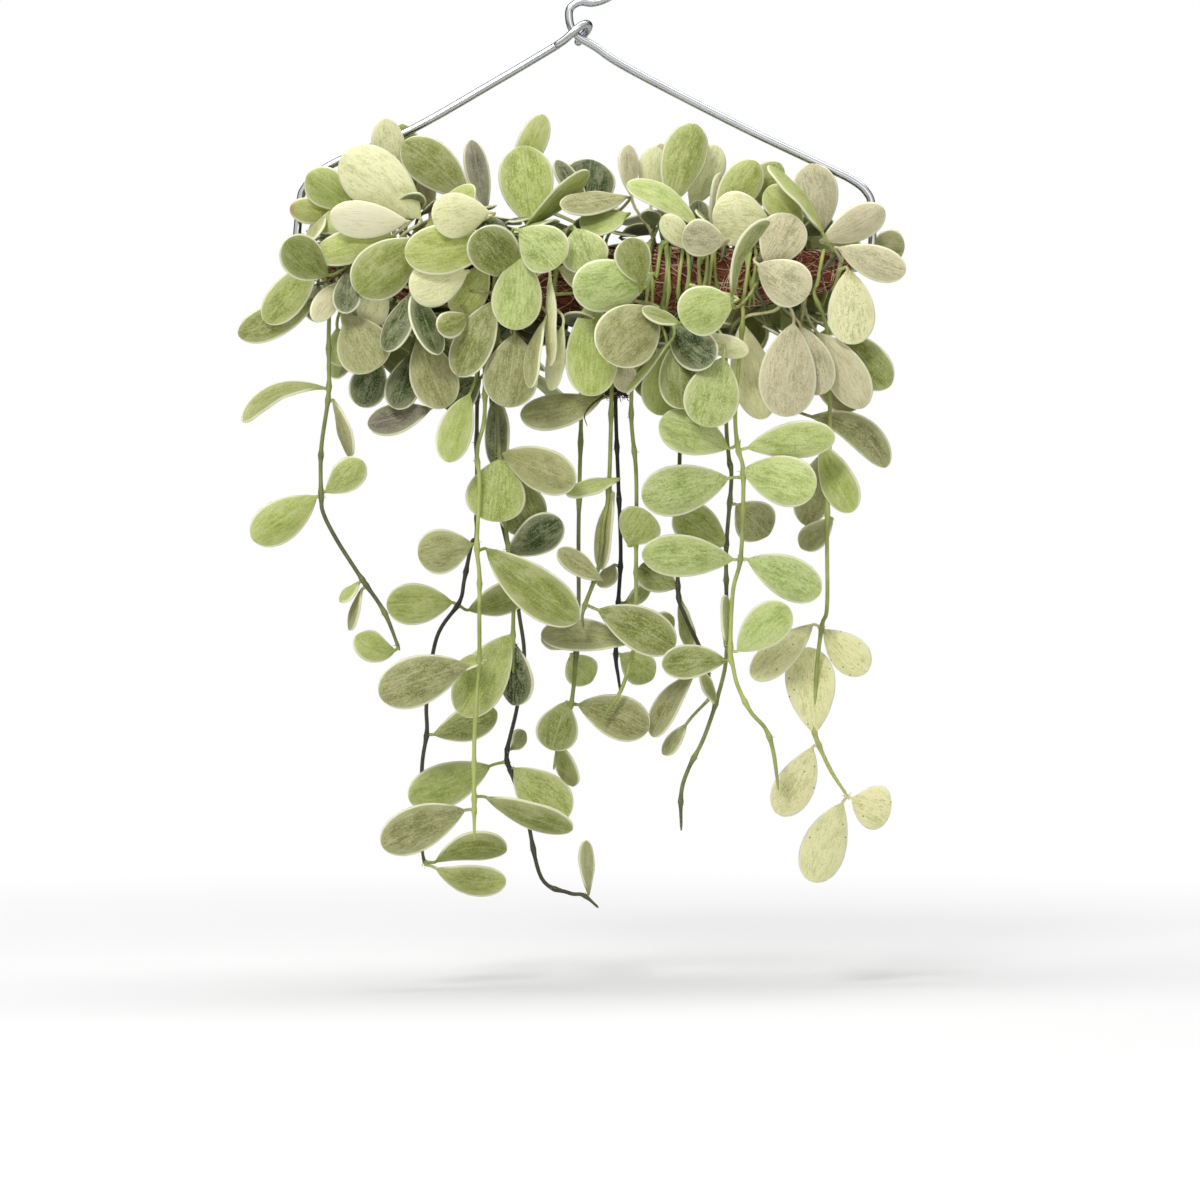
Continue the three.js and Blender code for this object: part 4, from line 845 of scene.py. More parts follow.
def is_clear(leaf, code, is_outside=None):
    """A blade keeps clear of its own stem's other blades too, except near its base."""
    upper = blade_spots(leaf, UPPER_ROWS)
    if not is_free(upper, BLADE_OFF_LOG, code) or (is_outside and is_outside(upper).any()):
        return False
    if not is_free(blade_spots(leaf, LOWER_ROWS), BLADE_OFF_LOG, code, code + BLADE_CODE):
        return False
    stalk = bezier(leaf["stalk"], ALL_STALK)
    stalk = stalk[np.linalg.norm(stalk - leaf["stalk"][0], axis=1) > CLEAR_OF_FOOT]
    return is_free(stalk, PETIOLE_OFF_LOG, code, code + BLADE_CODE)


shoots = []


def start_shoot(name, lane, wrap, route=(), leaves=(), tones=""):
    """A stem is laid along its lane and its route, and takes its room before any leaf does."""
    steps = max(2, math.floor(abs(wrap[1] - wrap[0]) / WRAP_STEP + 0.5))
    chord = 1 / math.cos((wrap[1] - wrap[0]) / steps * RAD / 2)
    points = []
    for i in range(steps + 1):
        angle = wrap[0] + (wrap[1] - wrap[0]) * i / steps
        x = lane + STEM_SLANT * angle / 90
        height = (log_radius(x) + GAP + STEM_RADIUS) * chord - log_radius(x)
        points.append(on_log(x, angle, height))
    points += [spot(*place) for place in route]
    shoots.append(dict(name=name, lane=lane, wrap=wrap, points=np.array(points), rows=leaves,
                       trails=len(route) > 0, tones=tones, leaves=[], code=len(shoots) + 1))
    claim(eased(points, ROUTE_SAMPLES), STEM_BALL, shoots[-1]["code"])


for name, plan in (trailers | front_shoots).items():
    start_shoot(name, **plan)
for i, lane in enumerate(BACK_LANES):
    start_shoot(f"back_shoot_{i + 1:02d}", lane, BACK_WRAP)
trailing = shoots[:len(trailers)]
front = shoots[len(trailers):-len(BACK_LANES)]
back = shoots[-len(BACK_LANES):]

FOOT_INSET = 7
FOOT_STEPS = (0, 9, -9, 18, -18, 27, -27, 36, -36)
FOOT_APART = 2.2
FOOT_SAMPLES = 12


def foot_on_wrap(shoot, base):
    """The place on a wrap that is nearest to a leaf's base and free of other feet."""
    raw = math.atan2(base[2] + log_drop(base[0]), -base[1]) / RAD
    low, high = min(shoot["wrap"]) + FOOT_INSET, max(shoot["wrap"]) - FOOT_INSET
    near = raw + 360 * math.floor(((low + high) / 2 - raw) / 360 + 0.5)
    placed = []
    for step in FOOT_STEPS:
        angle = min(high, max(low, near + step))
        x = shoot["lane"] + STEM_SLANT * angle / 90
        foot = on_log(x, angle, GAP + STEM_RADIUS)
        placed.append((foot, outward(angle)))
        if all(np.linalg.norm(leaf["stalk"][0] - foot) > FOOT_APART for leaf in shoot["leaves"]):
            return placed[-1]
    return placed[0]


def foot_on_route(shoot, right, drop):
    """The place on a trailing stem that is nearest to a leaf's base as seen from the front."""
    spots = eased(shoot["points"], FOOT_SAMPLES)
    return spots[np.argmin((spots[:, 0] - right) ** 2 + (spots[:, 2] + drop) ** 2)]


def keep_leaf(shoot, leaf, tone):
    leaf["tone"] = tone
    shoot["leaves"].append(leaf)
    claim(blade_spots(leaf, slice(0, NEAR_BASE + 1)), BLADE_BALL, shoot["code"])
    claim(blade_spots(leaf, UPPER_ROWS), BLADE_BALL, shoot["code"] + BLADE_CODE)
    claim(bezier(leaf["stalk"], ALL_STALK), STEM_BALL, shoot["code"])


TIP_SHIFTS = (0, 2, -2, 4, -4, 7, -7, 10, -10, 14)
BASE_SHIFTS = (0, 2, -2, 5, -5, 8)
TURNS = (0, 15, -15, 30, -30)
SIZES = (1, 0.85)
BASE_EASE = 0.25
ARCHES = (0.02, 0.08)
CUPS = (0.04, 0.24)
SWAYS = (-0.035, 0.035)


def draw_bends():
    """A leaf's own bend along its length and the fold of its edges."""
    return dict(arch=draw(*ARCHES), cup=draw(*CUPS))


def fit_leaf(shoot, given_sway, tone, plan):
    """The first of the small shifts, turns and sizes that finds room for a leaf of the plan."""
    bends = draw_bends()
    sway = draw(*SWAYS) if given_sway is None else given_sway
    for size, turn, base_shift, tip_shift in itertools.product(SIZES, TURNS, BASE_SHIFTS, TIP_SHIFTS):
        leaf = shape_leaf(**plan(base_shift, tip_shift, turn, size), **bends, sway=sway)
        if is_clear(leaf, shoot["code"]):
            keep_leaf(shoot, leaf, tone)
            return


for shoot in shoots:
    for row, tone in zip(shoot["rows"], shoot["tones"]):
        right, drop, tip_right, tip_drop, width = row[:5]
        if shoot["trails"]:
            lean, roll, sway = (*row[5:], None)[:3]
            held_at = foot_on_route(shoot, right, drop)
            out, base_ease, tip_follows = -held_at[1], BASE_EASE, 0
        else:
            out, lean, roll, sway = (*row[5:], None)[:4]
            held_at, base_ease, tip_follows = None, 1, 1

        def planned_leaf(base_shift, tip_shift, turn, size):
            base = spot(right, out + base_shift * base_ease, drop)
            tip = spot(tip_right, out + base_shift * tip_follows + lean + tip_shift, tip_drop)
            tip = (tip - base) * size + base
            if held_at is None:
                foot, foot_way = foot_on_wrap(shoot, base)
            else:
                foot, foot_way = held_at, unit(base - held_at)
            return dict(foot=foot, foot_way=foot_way, base=base, tip=tip, width=width * size,
                        facing=FRONT, roll=roll + turn)

        fit_leaf(shoot, sway, tone, planned_leaf)

# The leaves behind and inside shingle round the log, face outwards and point any way.
CLUMP_DEPTH = 58
CLUMP_RISE = 40
CLUMP_HANG = 57
CLUMP_LEFT = -120
CLUMP_RIGHT = 116
FILL_TRIES = 120
ANGLE_SPREAD = 30
LANE_SPREAD = 11
LOWEST_BASE = 4
RISE = (-10, 50)
INNER_LENGTH = (24, 37)
LEAF_WIDTH = (0.56, 0.72)
ROLL_SPREAD = 35


def is_too_far(points):
    up = points[:, 2] + LOG_DROP
    reach = np.where(up > 0, CLUMP_RISE, CLUMP_HANG)
    ring = (points[:, 1] / CLUMP_DEPTH) ** 2 + (up / reach) ** 2
    return (ring > 1) | (points[:, 0] < CLUMP_LEFT) | (points[:, 0] > CLUMP_RIGHT)


def fill_shoot(shoot, wrap, count, highest, lengths, tones):
    """Leaves are spread evenly over a wrap, each drawn again until it is clear or given up."""
    share = (wrap[1] - wrap[0]) / count
    for i in range(count):
        for _ in range(FILL_TRIES):
            angle = wrap[0] + share * (i + 0.5) + draw(-ANGLE_SPREAD, ANGLE_SPREAD)
            lane = shoot["lane"] + draw(-LANE_SPREAD, LANE_SPREAD)
            base = on_log(lane, angle, draw(LOWEST_BASE, highest))
            heading = draw(0, 360) * RAD
            rise = draw(*RISE) * RAD
            facing = outward(angle)
            way = outward(angle + 90) * math.sin(heading) + np.array([math.cos(heading), 0, 0])
            way = way * math.cos(rise) + facing * math.sin(rise)
            length = draw(*lengths)
            width = length * draw(*LEAF_WIDTH)
            roll = draw(-ROLL_SPREAD, ROLL_SPREAD)
            bends = draw_bends()
            sway = draw(*SWAYS)
            foot, foot_way = foot_on_wrap(shoot, base)
            leaf = shape_leaf(foot, foot_way, base, base + way * length, width, facing, roll,
                              **bends, sway=sway)
            if is_clear(leaf, shoot["code"], is_too_far):
                keep_leaf(shoot, leaf, tones[(i * 5 + shoot["code"] * 3) % len(tones)])
                break


# Among these tones, the dark tone s is painted shade for leaves deep in the clump.
BACK_TONES = "lollgoslcol"
INNER_TONES = "oslog"
for shoot in back:
    fill_shoot(shoot, shoot["wrap"], BACK_LEAVES, BACK_HEIGHT, INNER_LENGTH, BACK_TONES)
for shoot in front:
    if shoot["lane"] < INNER_RIGHT:
        fill_shoot(shoot, shoot["wrap"], INNER_LEAVES, INNER_HEIGHT, INNER_LENGTH, INNER_TONES)

# A few more small leaves, all of the dark tone s, fill the gaps close to the log, above and under
# it. They are painted shade that darkens those gaps.
SHADED_WRAPS = ((80, 160), (-140, -70))
SHADED_LEAVES = 2
SHADED_HEIGHT = 12
SHADED_LENGTH = (14, 23)
SHADED_RIGHT = 95
PAINTED_SHADE_TONES = "s"
for shoot in front:
    if shoot["lane"] < SHADED_RIGHT:
        for wrap in SHADED_WRAPS:
            fill_shoot(shoot, wrap, SHADED_LEAVES, SHADED_HEIGHT, SHADED_LENGTH, PAINTED_SHADE_TONES)

# ---------------------------------------------------------------- the stems
# The bare stems are smooth and fleshy, thickened at each node where leaves and roots stand. The
# young ones are yellow green and the old ones olive to nearly black, and the trailers that hang at
# the back are given the darkest of these colours as painted shade.

STEM_STEPS = 8
STEM_SIDES = 10
STEM_GIRTH = 0.82
NODE_GIRTH = 0.42
NODE_REACH = 1.7
NODE_SPACING = 24
NODE_STRAY = 5
END_WITHOUT_NODES = 4
STEM_TAPER = 12
STEM_TIP_SHARE = 0.6
STEM_END_SHARE = 0.5
STEM_AGES = (0.15, 0.55)
AGE_DRIFT = 0.12
DRIFT_LENGTH = (14, 30)
# Each trailer's place on the run of stem colours: its age, and for those that hang at the back also
# painted shade.
STEM_AGE_AND_SHADE = {
    "trailer_left": 0.45, "trailer_pale": 0.12, "trailer_shade": 0.85, "trailer_round": 0.35,
    "trailer_dark": 0.8, "trailer_middle": 0.4, "trailer_fork": 0.3, "trailer_black": 1.0,
    "trailer_centre": 0.2, "trailer_bright": 0.1, "trailer_twin": 0.5, "trailer_short": 0.75,
    "trailer_right": 0.12}

chance = np.random.default_rng(7)


def node_places(shoot, run):
    """Where along a stem its nodes are: at its leaves, and a few between them."""
    feet = [int(np.argmin(np.linalg.norm(run - leaf["stalk"][0], axis=1))) for leaf in shoot["leaves"]]
    walked = walked_along(run)
    for start in np.arange(NODE_SPACING, walked[-1] - END_WITHOUT_NODES, NODE_SPACING):
        at = int(np.argmin(np.abs(walked - start - chance.uniform(-NODE_STRAY, NODE_STRAY))))
        if all(abs(walked[at] - walked[foot]) > NODE_SPACING / 2 for foot in feet):
            feet.append(at)
    return walked, feet


def stem_girths(walked, feet):
    girths = np.full(len(walked), STEM_GIRTH)
    for foot in feet:
        swell = np.exp(-((walked - walked[foot]) / NODE_REACH) ** 2)
        girths = np.maximum(girths, STEM_GIRTH + NODE_GIRTH * swell)
    taper = np.clip((walked[-1] - walked) / STEM_TAPER, 0, 1)
    return girths * (STEM_TIP_SHARE + (1 - STEM_TIP_SHARE) * taper)


stem_skin, tree, shader = blank_finish("stem_skin")
spots = place_on(tree)
warts = mottle_of(tree, spots, 1100.0, 2.0)
fill_inputs(shader, {
    "Base Color": shades(tree, mottled(tree, "age", mottle_of(tree, spots, 120.0, 4.0), 0.7),
                         (0.0, "#b9c270"), (0.3, "#8f9a52"), (0.55, "#676b42"), (0.8, "#42402b"),
                         (1.0, "#26231d")),
    "Roughness": span(tree, warts, 0.42, 0.7), "Normal": bumps_of(tree, warts, 0.4, 0.0002)})

WINDER_POINTS = 9
WINDER_SWING = 1.1
WINDER_LIFT = 1.2
WINDER_GIRTH = 0.9

# Bare stems wind close together over the front of the log where no leaf hides them: where each
# stands, how far it slants on its way down, its angles round the log, its height and its age.
WINDERS = [
    (-37, 2, 125, -35, 1.4, 0.2), (-33, -3, 125, -45, 2.6, 0.3), (-29, 4, 120, -40, 1.3, 0.2),
    (-24, -2, 110, -50, 2.4, 0.45), (23, 2, 125, -60, 1.4, 0.15), (27, -2, 125, -55, 2.7, 0.1),
    (30, 3, 130, -65, 1.3, 0.25), (34, -3, 115, -60, 3.0, 0.1), (37, 1, 120, -70, 1.4, 0.15),
    (41, -2, 125, -60, 2.8, 0.25), (44, 3, 125, -55, 1.3, 0.1), (48, -2, 110, -60, 2.4, 0.2),
    (51, 2, 120, -65, 1.4, 0.3), (61, -2, 125, -60, 2.6, 0.2), (64, 2, 120, -65, 1.4, 0.1),
    (67, -1, 125, -60, 2.6, 0.3), (79, 2, 120, -70, 1.4, 0.2), (82, -2, 125, -60, 2.6, 0.35),
    (101, -14, 60, -75, 1.5, 0.75), (-74, 6, 120, 20, 1.6, 0.3), (-70, 8, 125, 10, 2.8, 0.2),
    (-66, -3, 120, 25, 1.5, 0.15)]


def winder_run(right, slant, start, end, height):
    """The points of one bare stem as it winds over the log."""
    return np.array([
        on_log(right + slant * t + WINDER_SWING * math.sin(7 * t + right), start + (end - start) * t,
               height + WINDER_LIFT * math.sin(5 * t + right))
        for t in np.linspace(0, 1, WINDER_POINTS)])


for group, members in (("trailing_stems", trailing), ("front_stems", front), ("back_stems", back)):
    runs, girths, ages = [], [], []
    for shoot in members:
        run = eased(shoot["points"], STEM_STEPS)
        walked, feet = node_places(shoot, run)
        girth = stem_girths(walked, feet)
        girth[[0, -1]] *= STEM_END_SHARE
        shoot["nodes"] = [run[foot] for foot in feet]
        base_age = STEM_AGE_AND_SHADE.get(shoot["name"], chance.uniform(*STEM_AGES))
        drift = AGE_DRIFT * np.sin(walked / chance.uniform(*DRIFT_LENGTH) + chance.uniform(*PHASES))
        runs.append(run)
        girths.append(girth * MM)
        ages.append(base_age + drift)
    if group == "front_stems":
        for *plan, age in WINDERS:
            run = eased(winder_run(*plan), STEM_STEPS)
            nodes = [len(run) // 3, 3 * len(run) // 4]
            runs.append(run)
            girths.append(WINDER_GIRTH * stem_girths(walked_along(run), nodes) * MM)
            ages.append(np.full(len(run), age))
    stems = made_by(
        round_run, group, run_mesh(group + "_runs", runs, girth=girths, age=ages),
        Sides=STEM_SIDES, Finish=stem_skin)
    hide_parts(*[shoot["name"] for shoot in members])
    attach(stems, "root")

# ---------------------------------------------------------------- the leaves
# Each leaf is one thin fleshy blade on a short stalk, wedge-shaped at its base, widest past its
# middle and round at its tip. It is green, grey green or cream, streaked and speckled lengthwise,
# with a thin cream margin and a duller underside.

LEAF_SIDES = 24
STALK_RINGS = 9
BLADE_RINGS = 26
TIP_BUNCHING = 1.7
BLADE_HALF_THICKNESS = 0.5
STALK_GIRTH = 0.62
STALK_FOOT_GIRTH = 1.0
CREASE = 0.16
# The tone s is painted shade: a dark olive for leaves that lie in shade.
LEAF_TONES = {
    "w": "#fff8d6", "c": "#d2c9a6", "y": "#f6f2b9", "k": "#f9f9c3", "l": "#b3c067", "o": "#8c9744",
    "g": "#a0a168", "b": "#a2a94c", "p": "#7f7969", "s": "#354a06", "f": "#bece7c"}
SCORCHED = "b"
SPECKED = "y"
PLAIN = "w"
PLAIN_SHARE = 0.1
VARIEGATED_SHARES = (0.5, 1)
TINT_SHARES = (0.88, 1.08)
TINT_STRAY = 0.02
MARKS = (0, 500)

# Rings stand along each leaf's midrib. The tree turns the run of rings into a blade: across each
# ring the leaf is as wide as its half width there, as thick as its depth, and bent by its fold.
leaf_skin, given, line = new_tree("leaf_skin")
ring = part_of(leaf_skin, "GeometryNodeCurvePrimitiveCircle", {
    "Resolution": given["Sides"], "Radius": MM})
around = part_of(leaf_skin, "GeometryNodeSplineParameter").outputs["Factor"]
marked = part_of(leaf_skin, "GeometryNodeStoreNamedAttribute", {
    "Geometry": ring.outputs["Curve"], "Name": "around", "Value": around}, data_type="FLOAT")
tube = part_of(leaf_skin, "GeometryNodeCurveToMesh", {
    "Curve": line, "Profile Curve": marked.outputs["Geometry"], "Fill Caps": True})


def blade_sum(operation, *values):
    """A sum on sockets, numbers and names of what the run keeps."""
    values = [run_value(leaf_skin, value) if isinstance(value, str) else value for value in values]
    return sum_of(leaf_skin, operation, *values)


def times(*values):
    return functools.reduce(functools.partial(blade_sum, "MULTIPLY"), values)


def along(title, by):
    """One of a ring's own directions, taken so far."""
    return part_of(leaf_skin, "ShaderNodeVectorMath", {
        0: run_value(leaf_skin, title, "FLOAT_VECTOR"), "Scale": by}, operation="SCALE").outputs[0]


def added(one, other):
    return part_of(leaf_skin, "ShaderNodeVectorMath", {0: one, 1: other}, operation="ADD").outputs[0]


MIDRIB_SHARE = 0.05
turn = times("around", 2 * math.pi)
across = blade_sum("COSINE", turn)
upward = blade_sum("SINE", turn)
off_middle = blade_sum("ABSOLUTE", across)
squared = times(across, across)
rounding = blade_sum("MAXIMUM", blade_sum("SUBTRACT", 1.0, blade_sum("POWER", off_middle, "corner")), 0.0)
lens = blade_sum("POWER", rounding, blade_sum("DIVIDE", 1.0, "corner"))
skin_lift = times(lens, blade_sum("SIGN", upward), "depth")
fold = times("half", squared, "cup")
left = times(blade_sum("LESS_THAN", across, 0.0), "left_wave")
right = times(blade_sum("GREATER_THAN", across, 0.0), "right_wave")
wave = times(blade_sum("ADD", left, right), squared)
crease = times(blade_sum("LESS_THAN", off_middle, MIDRIB_SHARE), blade_sum("GREATER_THAN", upward, 0.0),
               "crease")
lift = blade_sum("SUBTRACT", blade_sum("ADD", skin_lift, wave), blade_sum("ADD", fold, crease))
aside = times("half", across)
centre = run_value(leaf_skin, "centre", "FLOAT_VECTOR")
place = added(centre, added(along("side", aside), along("face", lift)))
edge = times(blade_sum("DIVIDE", "half", MM), blade_sum("SUBTRACT", 1.0, off_middle))
grain = part_of(leaf_skin, "ShaderNodeCombineXYZ", {
    "X": blade_sum("DIVIDE", aside, MM), "Y": run_value(leaf_skin, "run"),
    "Z": run_value(leaf_skin, "mark")}).outputs[0]
shape = tube.outputs["Mesh"]
for title, value, kind in (("edge", edge, "FLOAT"), ("grain", grain, "FLOAT_VECTOR"),
                           ("under", blade_sum("LESS_THAN", upward, 0.0), "FLOAT")):
    shape = part_of(leaf_skin, "GeometryNodeStoreNamedAttribute", {
        "Geometry": shape, "Name": title, "Value": value}, data_type=kind).outputs["Geometry"]
bent = part_of(leaf_skin, "GeometryNodeSetPosition", {"Geometry": shape, "Position": place})
close_tree(leaf_skin, given, bent.outputs["Geometry"])

leaf_flesh, tree, shader = blank_finish("leaf_flesh")
tint = skin_value(tree, "tint", "Color")
grain = skin_value(tree, "grain", "Vector")
edge = skin_value(tree, "edge")
blade = skin_value(tree, "blade")
variegated = skin_value(tree, "variegated")


def along_grain(scale, detail, roughness):
    stretched = part_of(tree, "ShaderNodeMapping", {"Vector": grain, "Scale": scale})
    return mottle_of(tree, stretched.outputs["Vector"], 1.0, detail, roughness)


def painted(under_coat, value, start, end, most, tint, only_on=None):
    """A tint laid on where a value goes from a start to an end, and only on a share of the leaf."""
    share = span(tree, value, 0.0, most, start, end, interpolation_type="SMOOTHSTEP")
    if only_on is not None:
        share = sum_of(tree, "MULTIPLY", share, only_on)
    return blend(tree, share, under_coat, tint)


clouds = along_grain((0.18, 0.1, 1.0), 4.0, 0.6)
streaks = along_grain((1.2, 0.24, 1.0), 4.0, 0.65)
specks = along_grain((1.7, 1.2, 1.0), 5.0, 0.8)
paler = blend(tree, 0.42, tint, linear("#ebe8bd"))
deeper = blend(tree, 0.85, tint, linear("#a3ab72"), "MULTIPLY")
coloured = painted(tint, clouds, 0.46, 0.68, 0.6, paler)
for value, start, end, most, layer in (
        (clouds, 0.52, 0.32, 0.75, deeper), (streaks, 0.5, 0.64, 0.6, paler),
        (streaks, 0.48, 0.36, 0.6, deeper), (specks, 0.54, 0.6, 0.95, paler),
        (specks, 0.46, 0.36, 1.0, deeper)):
    coloured = painted(coloured, value, start, end, most, layer, variegated)

# Fine veins run from the base to the tip, closer together where the blade is narrow.
VEIN_COUNT = 8.0
VEIN_STRETCH = 0.06
off_middle = part_of(tree, "ShaderNodeSeparateXYZ", {"Vector": grain}).outputs
from_midrib = sum_of(tree, "ABSOLUTE", off_middle["X"])
half_blade = sum_of(tree, "ADD", sum_of(tree, "ADD", from_midrib, edge), 0.01)
share = sum_of(tree, "DIVIDE", off_middle["X"], half_blade)
vein_grain = part_of(tree, "ShaderNodeCombineXYZ", {
    "X": sum_of(tree, "MULTIPLY", share, VEIN_COUNT),
    "Y": sum_of(tree, "MULTIPLY", off_middle["Y"], VEIN_STRETCH), "Z": off_middle["Z"]})
veins = mottle_of(tree, vein_grain.outputs[0], 1.0, 2.0)
off_vein = sum_of(tree, "ABSOLUTE", sum_of(tree, "SUBTRACT", veins, 0.5))
coloured = painted(coloured, off_vein, 0.03, 0.0, 0.4, deeper, blade)
coloured = painted(coloured, from_midrib, 0.5, 0.1, 0.3, paler, blade)

# The underside is duller, and the blade grows pale towards its cream margin.
DULLNESS = 0.6
dull = blend(tree, 0.55, tint, linear("#a9ab8c"))
dullness = sum_of(tree, "MULTIPLY", skin_value(tree, "under"), DULLNESS)
coloured = blend(tree, sum_of(tree, "MULTIPLY", dullness, variegated), coloured, dull)
coloured = painted(coloured, edge, 4.5, 0.6, 0.55, paler, blade)
coloured = painted(coloured, edge, 1.05, 0.5, 0.9, linear("#eff0cb"), blade)

# A few leaves have small dark pits, and one has a scorched tip.
pits = part_of(tree, "ShaderNodeTexVoronoi", {"Vector": grain, "Scale": 0.3}).outputs["Distance"]
coloured = painted(coloured, pits, 0.13, 0.08, 0.8, linear("#5d5f33"), skin_value(tree, "specked"))
coloured = blend(tree, skin_value(tree, "scorched"), coloured, linear("#a8683c"))
RELIEF_SHARE = 0.6
relief = sum_of(tree, "MULTIPLY", sum_of(tree, "ADD", streaks, specks), RELIEF_SHARE)
fill_inputs(shader, {
    "Base Color": coloured, "Roughness": span(tree, specks, 0.4, 0.62),
    "Normal": bumps_of(tree, relief, 0.45, 0.0004), "Specular IOR Level": 0.32,
    "Subsurface Weight": 0.12, "Subsurface Radius": (0.6, 1.0, 0.3), "Subsurface Scale": 0.002})

STALK_SPOTS = np.linspace(0, 1, STALK_RINGS)[:-1]
BLADE_SPOTS = 1 - (1 - np.linspace(0, 1, BLADE_RINGS)) ** TIP_BUNCHING
MARKINGS_START = 0.06
MARKINGS_EASE = 0.12
BLADE_OPENS = 0.2
THINNEST_TIP = 0.04
SHORTEST_STALK = 1
STALK_THINS = 9
WAVE = 0.45
WAVE_SHARE = (0.2, 1)
WAVES_ON_BLADE = (0.8, 2.2)
chance = np.random.default_rng(19)


def turned(vector, way, next_way):
    """The vector carried from one direction to the next without twist."""
    axis = np.cross(way, next_way)
    along, across = np.dot(way, next_way), np.linalg.norm(axis)
    if across < 1e-9:
        return vector
    axis = axis / across
    return (vector * along + np.cross(axis, vector) * across
            + axis * np.dot(axis, vector) * (1 - along))


def unit_rows(rows):
    return rows / np.linalg.norm(rows, axis=1)[:, None]


def stalk_frames(stalk_way, side, way):
    """Each stalk ring's own side and face, carried back from the blade's first ring."""
    frames = []
    for next_way in stalk_way[::-1]:
        next_way = unit(next_way)
        side = unit(turned(side, way, next_way))
        way = next_way
        frames.append((side, np.cross(side, way)))
    return frames[::-1]


def leaf_rings(leaf):
    """The rings of one leaf from its foot to its tip."""
    t = BLADE_SPOTS
    length, sway = leaf["length"], leaf["sway"]
    hump = 4 * t * (1 - t)
    slope = 4 * sway * (1 - 2 * t)
    centre = (leaf["base"] + np.outer(length * t, leaf["axis"])
              + np.outer(leaf["bow"] * hump, leaf["face"]) + np.outer(sway * length * hump, leaf["side"]))
    side = unit_rows(leaf["side"] - np.outer(slope, leaf["axis"]))
    way = unit_rows(leaf["axis"] + np.outer(4 * leaf["bow"] / length * (1 - 2 * t), leaf["face"])
                    + np.outer(slope, leaf["side"]))
    face = unit_rows(np.cross(side, way))
    half = np.maximum(np.hypot(STALK_GIRTH * (1 - t), half_width(leaf["width"], t)), THINNEST_TIP)
    opened = np.clip(t / BLADE_OPENS, 0, 1)
    depth = np.minimum(STALK_GIRTH + (BLADE_HALF_THICKNESS - STALK_GIRTH) * opened, half)
    swell = np.sin(np.pi * t)
    waves = [
        WAVE * chance.uniform(*WAVE_SHARE) * swell * np.sin(
            2 * np.pi * (chance.uniform(*WAVES_ON_BLADE) * t + chance.random())) for _ in range(2)]

    s = STALK_SPOTS[:, None]
    a, b, c, d = leaf["stalk"]
    stalk = bezier(leaf["stalk"], STALK_SPOTS)
    stalk_way = 3 * (b - a) * (1 - s) ** 2 + 6 * (c - b) * s * (1 - s) + 3 * (d - c) * s ** 2
    if np.linalg.norm(a - d) <= SHORTEST_STALK:
        stalk, stalk_way = stalk[:0], stalk_way[:0]
    frames = stalk_frames(stalk_way, side[0], way[0])
    none = np.zeros(len(stalk))
    foot_swell = np.exp(-STALK_THINS * STALK_SPOTS[:len(stalk)])
    stalk_half = STALK_GIRTH + (STALK_FOOT_GIRTH - STALK_GIRTH) * foot_swell
    places = np.vstack([stalk, centre])
    stalk_and_blade = dict(
        half=(stalk_half, half), depth=(stalk_half, depth), corner=(none + 2, 2 + opened),
        cup=(none, leaf["cup"] * opened), left_wave=(none, waves[0]), right_wave=(none, waves[1]),
        crease=(none, CREASE * np.sqrt(np.abs(swell))),
        blade=(none, np.clip((t - MARKINGS_START) / MARKINGS_EASE, 0, 1)))
    return dict(
        {title: np.concatenate(pair) for title, pair in stalk_and_blade.items()},
        places=places, run=walked_along(places),
        side=np.vstack([pair[0] for pair in frames] + [side]),
        face=np.vstack([pair[1] for pair in frames] + [face]))


def leaf_piece(name, members):
    """One piece of all the leaves of some stems."""
    kept, runs = {}, []
    for shoot in members:
        for leaf in shoot["leaves"]:
            rings = leaf_rings(leaf)
            places = rings.pop("places")
            runs.append(places)
            count = len(places)
            tint = np.array(linear(LEAF_TONES[leaf["tone"]])[:3])
            tint = tint * chance.uniform(*TINT_SHARES) * (1 + chance.uniform(-TINT_STRAY, TINT_STRAY, 3))
            last_quarter = np.clip(np.arange(count) / count * 4 - 3, 0, 1)
            rings.update(
                centre=places * MM, mark=np.full(count, chance.uniform(*MARKS)),
                tint=np.tile(np.clip(tint, 0, 1), (count, 1)),
                variegated=np.full(
                    count, PLAIN_SHARE if leaf["tone"] == PLAIN else chance.uniform(*VARIEGATED_SHARES)),
                specked=np.full(count, float(leaf["tone"] == SPECKED)),
                scorched=last_quarter * float(leaf["tone"] == SCORCHED))
            for title in ("half", "depth", "left_wave", "right_wave", "crease"):
                rings[title] = rings[title] * MM
            for title, values in rings.items():
                kept.setdefault(title, []).append(values)
    piece = made_by(
        leaf_skin, name, run_mesh(name + "_runs", runs, **kept), Sides=LEAF_SIDES, Finish=leaf_flesh)
    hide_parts(*[shoot["name"] for shoot in members])
    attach(piece, "root")


for shoot in trailing:
    leaf_piece(shoot["name"] + "_leaves", [shoot])
for title, members, share in (("front", front, 5), ("back", back, 4)):
    for i in range(0, len(members), share):
        leaf_piece(f"{title}_leaves_{i // share + 1}", members[i:i + share])

# ---------------------------------------------------------------- the rootlets
# Short pale rootlets stand in small tufts at the nodes of the hanging stems. Under the middle of
# the log they are matted into a dark knot, and a few longer ones hang from it.

